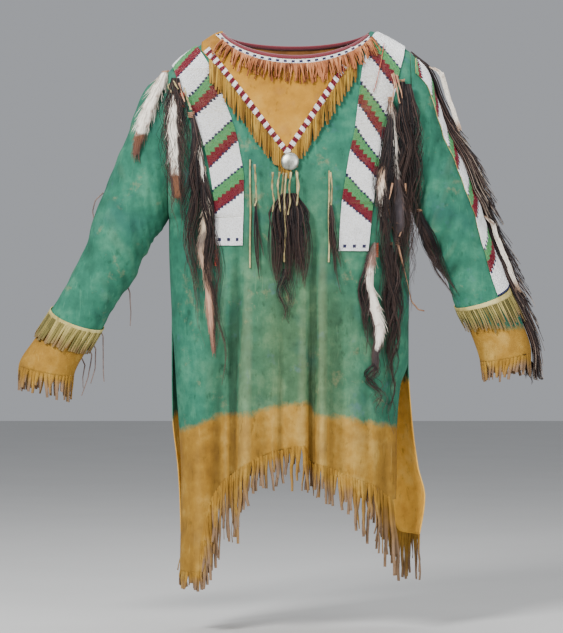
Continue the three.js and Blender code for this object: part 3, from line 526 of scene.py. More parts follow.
@finish
def inner_side(tree):
    cloud = tree.noise(14, 5, 0.6)
    smoked = tree.ramp(cloud, (0.35, tint(104, 66, 36)), (0.65, tint(172, 116, 66)))
    below = tree.attribute("ochre") + cloud * 80 - 40
    painted = tree.blend(tree.between(below, -440, -340), smoked, earth_paint(tree, GREEN))
    # Below the paint line the inner side takes the lightened ochre, which is partly its real colour and
    # partly painted light.
    return suede(tree, tree.blend(tree.between(below, -8, 8), painted, earth_paint(tree, INNER_OCHRE_WITH_PAINTED_LIGHT)))


# For painted shade in fold valleys and painted highlight on fold ridges: the columns that each point is
# measured against, and the fold depth at which the shade is darkest.
PAINTED_FOLD_SHADE = {"reach": 4, "full": 4 * MM}  # columns to each side, and the depth at which a crease is darkest
panels = {}
for name, sign, hem, paint, columns, rows in (
    ("front", 1, FRONT_HEM, FRONT_PAINT, 132, 180),
    ("back", -1, BACK_HEM, BACK_PAINT, 92, 124),
):
    x, path = panel_grid(sign, hem, columns, rows)
    points = body(x, path)
    below = (through(paint, 1)(points[..., 0]) - points[..., 2]) / MM
    # The crease mark, for painted shade and painted highlight: how far each point lies behind (positive) or
    # before (negative) its neighbours across the hide, with none near the top.
    padded = np.pad(points[..., 1], ((0, 0), (PAINTED_FOLD_SHADE["reach"],) * 2), mode="edge")
    level = np.mean([padded[:, k:k + columns + 1] for k in range(2 * PAINTED_FOLD_SHADE["reach"] + 1)], axis=0)
    crease = np.clip(sign * (points[..., 1] - level) / PAINTED_FOLD_SHADE["full"], -1, 1)
    crease = crease * eased(-points[..., 2], 0.15, 0.35)
    panels[name] = cloth(f"{name}_hide", points, [painted_hide, inner_side], turned=sign < 0,
                         ochre=below, crease=crease)
    root(panels[name], "green_hide", f"{name}_panel")


# ---------------------------------------------------------------- hem fringes
# The lower edge of each hide is cut into narrow strips, with the paint still on them. They hang limp, twist
# a little, and end in thin brown tips.
HEM_STRIP = {"step": 6.8 * MM, "width": 8.2 * MM, "above": 3 * MM}
HANG = {"points": 7, "lean": 0.07, "short": 0.45, "bow": 0.4}


def node_group(name, **inputs):
    """A geometry node group with named inputs, and the socket that its geometry comes in by."""
    group = bpy.data.node_groups.new(name, "GeometryNodeTree")
    group.interface.new_socket(name="Geometry", in_out="OUTPUT", socket_type="NodeSocketGeometry")
    for key, kind in {"Geometry": "Geometry", "Material": "Material", **inputs}.items():
        group.interface.new_socket(name=key, in_out="INPUT", socket_type=f"NodeSocket{kind}")
    tree = Tree(group)
    return tree, tree.make("NodeGroupInput")


def group_end(tree, geometry, given):
    """The end of every group: what it made becomes one mesh with its material."""
    solid = tree.make("GeometryNodeRealizeInstances", None, geometry)
    dressed = tree.make("GeometryNodeSetMaterial", None, solid, None, given.at("Material"))
    tree.make("NodeGroupOutput", None, dressed)
    return tree.tree


def grown(name, mesh, group, material, **settings):
    """A new piece: what a node group makes of a mesh of points."""
    piece = added(name, mesh)
    modifier = piece.modifiers.new("grown", "NODES")
    modifier.node_group = group
    named = {s.name: s.identifier for s in group.interface.items_tree if s.in_out == "INPUT"}
    for key, value in {"Material": material, **settings}.items():
        modifier[named[key]] = value
    graph = bpy.context.evaluated_depsgraph_get()
    shown = piece.evaluated_get(graph)
    made = bpy.data.meshes.new_from_object(shown, preserve_all_data_layers=True, depsgraph=graph)
    piece.modifiers.remove(modifier)
    piece.data = made
    return piece


def strand_group():
    """Strips or hairs along the edges of a mesh, whose points carry width, along, tone and facing."""
    numbers = dict.fromkeys(("Flat", "Curl", "Own", "Twist", "Taper"), "Float")
    tree, given = node_group("strands", Wave="Vector", **numbers)
    along, width, tone = (tree.carried(name) for name in ("along", "width", "tone"))
    facing = tree.carried("facing", "FLOAT_VECTOR")
    line = tree.make("GeometryNodeMeshToCurve", None, given.at("Geometry"))
    place = tree.make("GeometryNodeInputPosition")
    sway = tree.make("ShaderNodeTexNoise", {"noise_dimensions": "4D"}, place, tone * given.at("Own"),
                     Scale=given.at("Curl"), Detail=1.0)
    centred = tree.make("ShaderNodeVectorMath", {"operation": "SUBTRACT"}, sway.at("Color"), (0.5, 0.5, 0.5))
    waved = tree.make("ShaderNodeVectorMath", {"operation": "MULTIPLY"}, centred, given.at("Wave"))
    offset = tree.make("ShaderNodeVectorMath", {"operation": "SCALE"}, waved, along)
    line = tree.make("GeometryNodeSetPosition", None, line, Offset=offset)
    line = tree.make("GeometryNodeSetCurveNormal", {"mode": "FREE"}, line, Normal=facing)
    line = tree.make("GeometryNodeSetCurveTilt", None, line, Tilt=(tone - 0.5) * given.at("Twist") * along)
    profile = tree.make("GeometryNodeCurvePrimitiveQuadrilateral", None, Width=given.at("Flat"), Height=1.0)
    scale = width * (1 - given.at("Taper") * along)
    return group_end(tree, tree.make("GeometryNodeCurveToMesh", None, line, profile, scale, True), given)


STRANDS = strand_group()


def strands(name, lines, width, facing, material, seed, wave, down=0.0, edge=0.0, **settings):
    """Strips or hairs along lines: an array of strand, point, and x, y and z. They sway by the wave."""
    count, steps = lines.shape[:2]
    random = np.random.default_rng(seed)
    first = np.arange(count)[:, None] * steps + np.arange(steps - 1)
    edges = np.stack([first, first + 1], axis=-1).reshape(-1, 2)
    mesh = meshed(name, lines, edges)
    marks = {"width": width, "along": np.linspace(0, 1, steps), "tone": random.random((count, 1)),
             "down": down, "edge": edge}
    mark(mesh, "FLOAT", marks, (count, steps))
    mark(mesh, "FLOAT_VECTOR", {"facing": facing}, lines.shape)
    reach = (wave, wave, wave) if isinstance(wave, float) else wave
    return grown(name, mesh, STRANDS, material, Wave=reach, **{"Own": 7.0, **settings})


def spaced(points, step):
    """Evenly spaced places, as fractions of its length, along a line of points."""
    way = np.concatenate([[0], np.cumsum(np.linalg.norm(np.diff(points, axis=0), axis=1))])
    places = np.arange(step / 2, way[-1], step)
    return np.interp(places / way[-1], way / way[-1], np.linspace(0, 1, len(points)))


def respaced(line, step, *values):
    """Values at the points of a line, taken at even steps along it."""
    places = spaced(line, step)
    return [np.interp(places, np.linspace(0, 1, len(line)), given) for given in values]


def hanging(roots, reach, seed):
    """Lines that hang from their roots, each with its own small lean and length."""
    random = np.random.default_rng(seed)
    count, steps = len(roots), HANG["points"]
    t = np.linspace(0, 1, steps)[None, :, None]
    reach = reach * (1 - HANG["short"] * random.random(count) ** 2)
    aside = random.normal(0, HANG["lean"], (count, 2))
    way = np.stack([aside[:, 0] * reach, aside[:, 1] * 0.5 * reach, -reach], axis=1)[:, None, :]
    lines = np.repeat(roots[:, None, :], steps, axis=1) + way * t
    lines[..., :2] -= HANG["bow"] * way[..., :2] * t * t
    return lines


@finish
def cut_strips(tree):
    tone, along = tree.attribute("tone"), tree.attribute("along")
    paint = earth_paint(tree, OCHRE)
    grey = tree.blend(tree.noise(40, 3), tint(92, 72, 56), tint(146, 118, 92))
    bare = tree.between(along * (tone + 0.5) + tree.noise(30, 2) * 0.3, 0.4, 0.95)
    return suede(tree, tree.blend(bare, paint, grey))


for name, sign, hem in (("front", 1, FRONT_HEM), ("back", -1, BACK_HEM)):
    hem_at, reach_at = curves(hem, 1, 2)
    across = np.linspace(hem[0][0], hem[-1][0], 500) * MM
    edge = body(across, way_to(across, hem_at(across), sign))
    x = respaced(edge, HEM_STRIP["step"], across)[0]
    path = way_to(x, hem_at(x), sign)
    roots = lifted(x, path, -HIDE / 3) + np.array([0, 0, HEM_STRIP["above"]])
    facing = normals(x, path)[:, None, :]
    facing[..., 2] = 0
    lines = hanging(roots, reach_at(x), seed=11 + sign)
    fringe = strands(f"{name}_hem_fringe", lines, HEM_STRIP["width"], facing, cut_strips, seed=3,
                     wave=28 * MM, Flat=0.22, Curl=15.0, Own=1.8, Twist=2.2, Taper=0.3)
    root(fringe, "ochre_hide", f"hem_fringe_{name}")
    panels[f"{name} fringe"] = fringe


# ---------------------------------------------------------------- sleeves
# Each sleeve is one hide folded over the arm and sewn along its underside, then to the body at the armhole.
# It is painted green, and the wearer's left one turns ochre above the wrist.
ARMS = {  # outer x, outer z, inner x, inner z, half depth, y, at each ring from the armhole down
    "right": [
        (-262.9, -46, -262.9, -361, 80, 0), (-313, -84, -275, -382, 82, -2),
        (-344, -162, -294, -405, 78, -4), (-370, -227, -307, -426, 72, -7),
        (-407, -315, -323, -460, 64, -10), (-437, -410, -349, -510, 56, -13),
        (-475, -494, -378, -548, 49, -16), (-515, -559, -407, -601, 46, -18),
        (-544, -611, -439, -645, 46, -20), (-582, -674, -464, -697, 50, -22),
        (-586, -725, -469, -752, 52, -23),
    ],
    "left": [
        (252.4, -4, 252.4, -332, 82, 0), (291, -50, 260, -355, 82, -2), (319, -141, 271, -386, 78, -4),
        (344, -204, 283, -414, 72, -7), (378, -284, 304, -443, 64, -10), (405, -357, 321, -472, 56, -13),
        (433, -435, 336, -508, 50, -16), (464, -514, 351, -554, 47, -18), (487, -571, 374, -590, 47, -20),
        (510, -645, 401, -666, 50, -22), (509, -695, 406, -708, 52, -23),
    ],
}
WRIST, CUFF_END, FRINGE_END = 7, 9, 10
WRIST_LAP = 0.05  # how far the sleeve reaches into its cuff, in rings
SLEEVE_GRID, CUFF_GRID = (90, 66), (24, 72)  # rings, and columns round the arm
# How deep a wrinkle is where its painted shade is darkest.
WRINKLE_SHADE_DEPTH = 5 * MM
SAG = 0.24  # rings by which the wrist seam hangs lower in front
TURNED = 0.02  # how far apart, in rings and in turn, the places are that a sleeve's facing is taken from
SLEEVE_PAINT = {"right": -700, "left": -588}  # height where the green gives way to the ochre
arm_curves = {
    side: curves([(ring, *row) for ring, row in enumerate(rows)], *range(1, 7)) for side, rows in ARMS.items()
}


def wrinkles(side, ring, turn):
    """Soft creases across the sleeve's inner bend, deepest at the elbow."""
    hand = 1 if side == "right" else -1
    under = (1 - np.cos(turn)) / 2
    forward = np.sin(turn)
    elbow = np.exp(-((ring - 4.2) / 1.9) ** 2)
    bend = np.sin(4.3 * ring + 1.6 * forward + hand) * elbow * (0.25 + 0.75 * under)
    cross = np.sin(2.9 * ring - 2 * turn * hand + 0.5) * np.sin(1.7 * ring + turn + hand)
    small = np.sin(9.1 * ring + 3 * forward) * np.sin(2.2 * ring + 5 * turn)
    loose = eased(ring, 0.1, 1.4) * (1 - eased(ring, 6.1, 6.95))
    return (3.4 * bend + 1.6 * cross + 1.1 * small) * loose * MM


def plain_sleeve(side, ring, turn):
    """A point on a sleeve without its creases."""
    ring = ring + SAG * np.sin(turn) * eased(ring, 5, 7) * (1 - eased(ring, 7.2, 10))
    outer_x, outer_z, inner_x, inner_z, depth, y = (curve(ring * MM) for curve in arm_curves[side])
    across = (1 + np.cos(turn)) / 2
    return np.stack([
        inner_x + (outer_x - inner_x) * across,
        y - depth * np.sin(turn),
        inner_z + (outer_z - inner_z) * across,
    ], axis=-1)


def sleeve(side, ring, turn, off=0.0):
    """A point off a sleeve: turn 0 is its outer edge, and a quarter turn its front."""
    ring, turn, off = np.broadcast_arrays(*(np.asarray(a, float) for a in (ring, turn, off)))
    along = plain_sleeve(side, ring + TURNED, turn) - plain_sleeve(side, np.maximum(ring - TURNED, 0), turn)
    around = plain_sleeve(side, ring, turn + TURNED) - plain_sleeve(side, ring, turn - TURNED)
    normal = np.cross(along, around) * (1 if side == "right" else -1)
    normal[..., 0] = np.where(ring < 0.01, 0, normal[..., 0])
    normal /= np.linalg.norm(normal, axis=-1, keepdims=True)
    return plain_sleeve(side, ring, turn) + normal * (off + wrinkles(side, ring, turn))[..., None]


def tube(side, name, rings, columns, off, materials, paint, thickness=HIDE):
    """A closed piece of hide round the arm."""
    turn = np.linspace(0, 2 * math.pi, columns, endpoint=False)
    points = sleeve(side, rings[:, None], turn, off)
    below = (paint * MM - points[..., 2]) / MM
    # The crease mark, for painted shade in the wrinkles' valleys and painted highlight on their ridges;
    # thinner pieces get none.
    crease = np.clip(-wrinkles(side, rings[:, None], turn) / WRINKLE_SHADE_DEPTH, -1, 1) if thickness == HIDE else 0.0
    return cloth(name, points, materials, closed=True, turned=side == "left", thickness=thickness,
                 ochre=below, crease=crease)


sleeves = {}
for side in ARMS:
    rings = np.linspace(0, WRIST + WRIST_LAP, SLEEVE_GRID[0])
    sleeves[side] = tube(side, f"sleeve_{side}_hide", rings, SLEEVE_GRID[1], 0, [painted_hide, inner_side],
                         SLEEVE_PAINT[side])
    root(sleeves[side], "green_hide", f"sleeve_{side}")


# ---------------------------------------------------------------- cuffs
# A flared cuff of ochre hide is sewn on below each wrist. A pale fringe is laid over that seam, and the
# cuff's own end is cut into strips.
CUFF_PAINT = {"right": -400, "left": -592}
BAND = {
    "above": 0.12, "turned": 0.07, "below": {"right": 0.98, "left": 1.12}, "lay": 3.2 * MM, "sunk": 0.8 * MM,
    "flare": 4 * MM, "wall": 1.6 * MM,
}
LAP = 0.02  # how far above its edge a fringe starts, in rings
CUT = {  # step and width of the strips, and how uneven their ends are
    "right": {"band": (5.6 * MM, 5.8 * MM, 0.12), "end": (8.4 * MM, 8.4 * MM, 0.45)},
    "left": {"band": (4.4 * MM, 3.4 * MM, 0.3), "end": (8.4 * MM, 8.4 * MM, 0.45)},
}
STRAY = {  # how far the strips stray round the arm, their wave, twist and taper
    "band": (0.03, 5 * MM, 0.4, 0.12),
    "end": (0.09, 14 * MM, 2.0, 0.35),
}


@finish
def pale_hide(tree):
    dark, middle, light = tint(134, 118, 66), tint(178, 164, 104), tint(206, 194, 138)
    return suede(tree, tree.ramp(tree.noise(20, 4), (0.32, dark), (0.5, middle), (0.68, light)))


def dyed_strips(hide, end, mottle, uneven, low, high, most=1.0):
    """The look of strips of hide, each with a tone of its own and another colour towards its end."""
    def build(tree):
        tone, along = tree.attribute("tone"), tree.attribute("along")
        scale, share = mottle
        dyed = tree.ramp(tree.noise(scale, 3) * share + tone * (1 - share), *hide)
        return suede(tree, tree.patched(dyed, end, along + tone * uneven, low, high, most))

    return build


pale_strips = finish(dyed_strips(
    [(0.25, tint(84, 78, 40)), (0.5, tint(128, 116, 64)), (0.75, tint(164, 150, 92))], tint(118, 94, 62),
    mottle=(30, 0.5), uneven=0.5, low=0.8, high=1.3), "pale_strips")
cuffs = {}
for side in ARMS:
    hand = 0 if side == "right" else 1
    rings = np.linspace(WRIST + 0.06, CUFF_END, CUFF_GRID[0])
    cuffs[side] = tube(side, f"cuff_{side}_hide", rings, CUFF_GRID[1], 0, [painted_hide, inner_side],
                       CUFF_PAINT[side])
    root(cuffs[side], "ochre_hide", f"cuff_{side}")
    band_rings = np.linspace(WRIST - BAND["above"], WRIST + BAND["turned"], 4)
    welt = tube(side, f"cuff_welt_{side}", band_rings, CUFF_GRID[1], BAND["lay"], [pale_hide], 0,
                BAND["wall"])
    root(welt, "pale_hide")
    pieces, band_end, band_lay = {}, WRIST + BAND["below"][side], BAND["lay"] - BAND["sunk"]
    for part, start, end, lay, flare, look in (
        ("band", WRIST - LAP, band_end, band_lay, BAND["flare"], pale_strips),
        ("end", CUFF_END - LAP, FRINGE_END, -HIDE / 2, 0, cut_strips),
    ):
        step, width, uneven = CUT[side][part]
        stray, wave, twist, taper = STRAY[part]
        turn = np.linspace(0, 2 * math.pi, 400)
        around = spaced(sleeve(side, start, turn, lay), step) * 2 * math.pi
        random = np.random.default_rng(21 + hand)
        t = np.linspace(0, 1, 7)
        reach = 1 - uneven * random.random((len(around), 1)) ** 1.5
        ring = start + (end - start) * t * reach
        wander = around[:, None] + random.normal(0, stray, (len(around), 1)) * t
        lines = sleeve(side, np.minimum(ring, FRINGE_END), wander, lay + flare * t)
        lines[..., 2] -= 4 * MM * t * random.random((len(around), 1))
        facing = sleeve(side, ring, wander, lay + 2 * MM) - sleeve(side, ring, wander, lay)
        pieces[part] = strands(f"cuff_{part}_strips_{side}", lines, width, facing, look, seed=5 + hand,
                               wave=wave, Flat=0.24, Curl=22.0, Twist=twist, Taper=taper)
    root(pieces["band"], "pale_hide", f"cuff_band_fringe_{side}")
    root(pieces["end"], "ochre_hide", f"cuff_end_fringe_{side}")


# ---------------------------------------------------------------- beaded strips
# Four strips of hide worked solid with glass seed beads, sewn down in lanes: one over each shoulder, alike on
# chest and back, and one along each sleeve. Stepped bars of green and dark red cross a white ground.
STRIPS = {
    "right": {
        "edges": [  # way down the hide, inner x, outer x
            (0, -205, -254), (66, -193, -250), (136, -168, -238), (190, -143, -214), (252, -118, -193),
            (292, -109, -181), (344, -101, -170), (395, -101, -164), (484, -103, -160),
        ],
        "bars": [  # height of a bar's top, then of its foot, at the inner and the outer edge
            ((5, -42), (-9, -67)), ((-54, -114), (-96, -147)), ((-158, -214), (-198, -257)),
            ((-256, -307), (-306, -352)),
        ],
    },
    "left": {
        "edges": [
            (0, 185, 241), (66, 168, 238), (130, 150, 227), (190, 140, 213), (245, 132, 196),
            (292, 121, 187), (344, 112, 179), (395, 104, 171), (497, 97, 160),
        ],
        "bars": [
            ((21, -49), (-12, -90)), ((-79, -155), (-119, -199)), ((-172, -242), (-216, -278)),
            ((-273, -332), (-322, -372)),
        ],
    },
}
SLEEVE_STRIPS = {  # rings and the turn of the middle there; then the bars, at the front and the outer edge
    "right": {
        "rings": [0, 7], "turn": [-0.95, -0.95],
        "bars": [
            ((-60, -40), (-102, -82)), ((-170, -130), (-212, -172)), ((-275, -230), (-317, -272)),
            ((-380, -330), (-422, -372)), ((-480, -430), (-522, -472)),
        ],
    },
    "left": {
        "rings": [0, 1.2, 3, 5, 6.2, 7], "turn": [0.5, 0.42, 0.36, 0.34, 0.46, 0.52],
        "bars": [
            ((-25, 25), (-67, -17)), ((-107, -58), (-149, -100)), ((-216, -162), (-260, -204)),
            ((-317, -262), (-362, -306)), ((-433, -372), (-478, -416)),
        ],
    },
}
SLEEVE_STRIP = {"width": 62 * MM, "from": 0.25, "to": 6.85}
BEAD = {
    "across": 2.15 * MM, "along": 2.25 * MM, "radius": 1.55 * MM,
    "rise": 0.8 * MM, "lane": 7, "hump": 0.5 * MM,
}
BACKING = {"off": 2.3 * MM, "wall": 1.5 * MM, "edge": 0.46, "sunk": 1.1 * MM}
WHITE, LEAF, WINE, NAVY = range(4)
BEAD_COLOURS = np.array([tint(255, 255, 255), tint(86, 160, 98), tint(124, 24, 44), tint(22, 24, 78)])
SHOULDER_COLUMNS, SLEEVE_COLUMNS = 28, 29
STAIR = {"edge": 3, "middle": 4}  # beads to a step of a bar's edges, and of the line between its colours
DOT = 4.6 * MM
END_DOTS = {"above": 10 * MM, "columns": (4, 13, 22)}


def bead_group():
    """A glass bead at each point of a mesh, whose points carry out, run, size and colour."""
    tree, given = node_group("beads", Radius="Float", Segments="Int", Rings="Int")
    out, run, size = (tree.carried(name, "FLOAT_VECTOR") for name in ("out", "run", "size"))
    turned = tree.make("FunctionNodeAxesToRotation", {"primary_axis": "Z", "secondary_axis": "X"}, out, run)
    sizes = (given.at(name) for name in ("Segments", "Rings", "Radius"))
    bead = tree.make("GeometryNodeMeshUVSphere", None, *sizes)
    squared = tree.make("GeometryNodeTransform", None, bead, Rotation=(0, 0, math.pi / 4))
    squeezed = tree.make("GeometryNodeTransform", None, squared, Scale=(0.94, 1.02, 0.62))
    rounded = tree.make("GeometryNodeSetShadeSmooth", None, squeezed)
    laid = tree.make("GeometryNodeInstanceOnPoints", None, given.at("Geometry"), Instance=rounded,
                     Rotation=turned, Scale=size)
    return group_end(tree, laid, given)


BEADS = bead_group()


@finish
def glass_beads(tree):
    colour = tree.make("ShaderNodeAttribute", {"attribute_name": "colour"}).at("Color")
    return {
        "Base Color": tree.patched(colour, tint(176, 160, 130), tree.noise(60, 3), 0.55, 0.8, 0.14),
        "Roughness": tree.between(tree.noise(250, 2), 0.3, 0.7, 0.22, 0.42),
    }


def beadwork(name, place, along, kinds, off):
    """Beads on a surface: place(along, across, off) gives its points, and kinds their colours."""
    across = kinds.shape[1]
    v, u = along[:, None], (np.arange(across) + 0.5)[None, :] / across
    hump = BEAD["hump"] * np.sin((np.arange(across) % BEAD["lane"] + 0.5) / BEAD["lane"] * math.pi)
    points = place(v, u, off + hump)
    out = place(v, u, off + (hump + MM)) - points
    run = place(v, u + 0.01, off + hump) - points
    wide = np.linalg.norm(run, axis=-1, keepdims=True) / (0.01 * across * BEAD["across"])
    size = np.concatenate([wide, np.ones_like(wide), np.ones_like(wide)], axis=-1)
    random = np.random.default_rng(31)
    shade = 1 - np.abs(random.normal(0, 0.09, kinds.shape))[..., None]
    colour = BEAD_COLOURS[kinds] * np.clip(shade, 0.7, 1)
    colour[..., 3] = 1
    mesh = meshed(name, points + random.normal(0, 0.09 * MM, points.shape))
    mark(mesh, "FLOAT_VECTOR", {"out": out, "run": run, "size": size}, points.shape)
    mark(mesh, "FLOAT_COLOR", {"colour": colour}, colour.shape)
    return grown(name, mesh, BEADS, glass_beads, Radius=BEAD["radius"], Segments=4, Rings=2)


def barred(way, across, bars):
    """The colour of each bead: stepped bars, from a top to a foot at the first and at the last column."""
    column, rows = np.arange(across), way[:, None]
    fine, coarse = ((column // step + 0.5) * step / across for step in STAIR.values())
    kinds = np.full((len(way), across), WHITE)
    for (first_top, last_top), (first_foot, last_foot) in bars:
        top, foot = (a + (b - a) * fine for a, b in ((first_top, last_top), (first_foot, last_foot)))
        middle = (first_top + first_foot + (last_top + last_foot - first_top - first_foot) * coarse) / 2
        kinds[(rows >= top) & (rows < middle)] = LEAF
        kinds[(rows >= middle) & (rows < foot)] = WINE
        kinds[(rows >= top - DOT) & (rows < top) & (column % 3 < 2)] = NAVY
        kinds[(rows >= foot) & (rows < foot + DOT) & (column % 3 > 0)] = NAVY
    return kinds


def on_hide(side, way, u, off):
    """A place on a shoulder strip: the way down it, across it, and off the hide."""
    inner, outer = (edge(np.abs(way)) for edge in curves(STRIPS[side]["edges"], 1, 2))
    return lifted(inner + (outer - inner) * u, way, off)


def on_sleeve(side, ring, u, off):
    """A place on a sleeve strip."""
    outer_x, outer_z, inner_x, inner_z, depth, _ = (curve(ring * MM) for curve in arm_curves[side])
    tall = np.hypot(outer_x - inner_x, outer_z - inner_z) / 2
    half = SLEEVE_STRIP["width"] / 2 / np.sqrt((tall ** 2 + depth ** 2) / 2)
    middle = np.interp(ring, SLEEVE_STRIPS[side]["rings"], SLEEVE_STRIPS[side]["turn"])
    return sleeve(side, ring, middle + half * (1 - 2 * u), off)


def beaded_strip(name, place, along, rows, kinds, turned, flat):
    """A strip's beadwork, and its hide backing under it."""
    work = beadwork(f"{name}_beads", place, rows, kinds, BACKING["off"] + BEAD["rise"])
    u = np.linspace(0.03, 0.97, 17)[None, :]
    edge = np.where(np.abs(u - 0.5) > BACKING["edge"], BACKING["sunk"], 0)
    sheet = cloth(f"{name}_backing", place(along[:, None], u, BACKING["off"] - edge), [pale_hide],
                  turned=turned, thickness=BACKING["wall"])
    root(sheet, "pale_hide")
    root(work, "seed_beads", name)


for side, strip in STRIPS.items():
    reach = strip["edges"][-1][0] * MM
    rows = np.arange(-reach, reach, BEAD["along"]) + BEAD["along"] / 2
    edge_x = curves(strip["edges"], 1, 2)
    bars = []
    for bar in strip["bars"]:
        ways = [[0.0, 0.0], [0.0, 0.0]]
        for _ in range(5):
            ways = [[float(way_to(edge(way), z * MM)) for edge, way, z in zip(edge_x, *pair)]
                    for pair in zip(ways, bar)]
        bars.append(ways)
    kinds = barred(np.abs(rows), SHOULDER_COLUMNS, bars)
    end = np.abs(rows) - reach + END_DOTS["above"]
    for column in END_DOTS["columns"]:
        kinds[np.ix_(np.abs(end) < 1.6 * BEAD["along"], range(column, column + 3))] = NAVY
    beaded_strip(f"shoulder_strip_{side}", partial(on_hide, side), np.linspace(-reach, reach, 120), rows,
                 kinds, side == "right", (0.066, 2 * reach))
for side, strip in SLEEVE_STRIPS.items():
    place = partial(on_sleeve, side)
    rings = np.linspace(SLEEVE_STRIP["from"], SLEEVE_STRIP["to"], 300)
    rows = SLEEVE_STRIP["from"] + spaced(place(rings, 0.5, 0), BEAD["along"]) * (rings[-1] - rings[0])
    fronts, outers = (place(rows, u, 0)[:, 2] for u in (0, 1))
    way = np.arange(len(rows)) * BEAD["along"]
    bars = [[(np.interp(-front * MM, -fronts, way), np.interp(-outer * MM, -outers, way))
             for front, outer in bar] for bar in strip["bars"]]
    kinds = barred(way, SLEEVE_COLUMNS, bars)
    kinds[-2:] = NAVY
    beaded_strip(f"sleeve_strip_{side}", place, rings[::3], rows, kinds, side == "right", (0.05, 0.52))


# ---------------------------------------------------------------- bib
# A three-cornered piece of yellow hide hangs from the neck. Beaded bands of white and dark red blocks run
# down its two edges, and a gold fringe is sewn on outside them and hangs over the strips.
BIB = {"right": (-190, -6.5), "point": (-10, -240), "left": (160, 12), "reach": 156, "top": 1.2 * MM}
BIB_HIDE = {"off": 4.4 * MM, "wall": 1.8 * MM}
BIB_BAND = {"across": 6, "block": 4, "inset": 1.2 * MM, "start": -186, "end": 118, "mitre": 6}
BIB_FRINGE = {
    "length": 48 * MM, "uneven": 0.3, "clear": 3 * MM, "step": 3.9 * MM, "width": 4.3 * MM, "lean": 2.5 * MM,
    "start": -172, "end": 136, "off": 5.6 * MM,
}


def bib_edge(x):
    """Height of the bib's edge at x."""
    (rx, rz), (px, pz), (lx, lz) = BIB["right"], BIB["point"], BIB["left"]
    return np.interp(x / MM, [rx, px, lx], [rz, pz, lz]) * MM


def beside(x, way, aside, off, sign=1):
    """Points to one side of a line on the hide, given by its x and its way down."""
    run, fall = np.gradient(x), np.gradient(way)
    length = np.hypot(run, fall)
    there = np.maximum(way[:, None] + (run / length)[:, None] * aside, EDGE_PATH)
    here = x[:, None] - (fall / length)[:, None] * aside
    return lifted(here, sign * there, off)


@finish
def bib_hide(tree):
    cloud = tree.noise(9, 5, 0.6)
    dark, middle, light = tint(130, 88, 24), tint(166, 118, 36), tint(188, 144, 62)
    colour = tree.ramp(cloud, (0.34, dark), (0.5, middle), (0.68, light))
    return suede(tree, tree.patched(colour, tint(150, 104, 58), tree.noise(28, 4), 0.55, 0.75, 0.5))


def along_bib(start, end, step):
    """x at even steps along the bib's edge."""
    x = np.linspace(start, end, 200) * MM
    return respaced(body(x, way_to(x, bib_edge(x))), step, x)[0]


def beaded_edge(name, node, x, way, start, kinds, sign=1):
    """A narrow band of beads beside an edge."""
    def place(row, u, off):
        return beside(x, way, start + sign * kinds.shape[1] * BEAD["across"] * u, off)

    band = beadwork(name, place, np.arange(len(x)), kinds, BIB_HIDE["off"] + BEAD["rise"])
    return root(band, "seed_beads", node)


bib_x = np.concatenate([
    np.linspace(BIB["right"][0], BIB["point"][0], 48), np.linspace(BIB["point"][0], BIB["reach"], 44)[1:],
]) * MM
bib_top = neck_way(bib_x, 1) + BIB["top"]
bib_bottom = way_to(bib_x, bib_edge(bib_x))
bib_way = bib_top + (bib_bottom - bib_top) * np.linspace(0, 1, 46)[:, None]
bib = cloth("bib_hide", lifted(bib_x, bib_way, BIB_HIDE["off"]), [bib_hide], thickness=BIB_HIDE["wall"])
root(bib, "ochre_hide", "bib")
gold_strips = finish(dyed_strips(
    [(0.25, tint(92, 64, 18)), (0.5, tint(138, 102, 34)), (0.8, tint(168, 134, 56))], tint(128, 92, 44),
    mottle=(25, 0.4), uneven=0.4, low=0.9, high=1.4), "gold_strips")
for side, start, end in (
    ("right", BIB_BAND["start"], BIB["point"][0] - BIB_BAND["mitre"]),
    ("left", BIB["point"][0] + BIB_BAND["mitre"], BIB_BAND["end"]),
):
    x = along_bib(start, end, BEAD["along"])
    block = np.arange(len(x)) // BIB_BAND["block"] % 2
    kinds = np.repeat(np.where(block, WINE, WHITE)[:, None], BIB_BAND["across"], axis=1)
    beaded_edge(f"bib_band_{side}_beads", f"bib_band_{side}", x, way_to(x, bib_edge(x)),
                                  -BIB_BAND["inset"], kinds, sign=-1)
for side, start, end in (
    ("right", BIB_FRINGE["start"], BIB["point"][0]),
    ("left", BIB["point"][0], BIB_FRINGE["end"]),
):
    x = along_bib(start, end, BIB_FRINGE["step"])
    random = np.random.default_rng(41 + len(side))
    t = np.linspace(0, 1, 8)
    reach = BIB_FRINGE["length"] * (1 - BIB_FRINGE["uneven"] * random.random((len(x), 1)) ** 2)
    z = bib_edge(x)[:, None] + BIB_FRINGE["clear"] - (reach + BIB_FRINGE["clear"]) * t
    across = x[:, None] + random.normal(0, BIB_FRINGE["lean"], (len(x), 1)) * t
    way = way_to(across, z)
    off = BIB_FRINGE["off"] + random.random((len(x), 1)) * 1.5 * MM + 1.2 * MM * np.minimum(t * 3, 1)
    fringe = strands(f"bib_fringe_{side}_strips", lifted(across, way, off), BIB_FRINGE["width"],
                     normals(across, way), gold_strips, seed=7,
                     wave=4 * MM, Flat=0.3, Curl=22.0, Twist=0.7, Taper=0.2)
    root(fringe, "ochre_hide", f"bib_fringe_{side}")


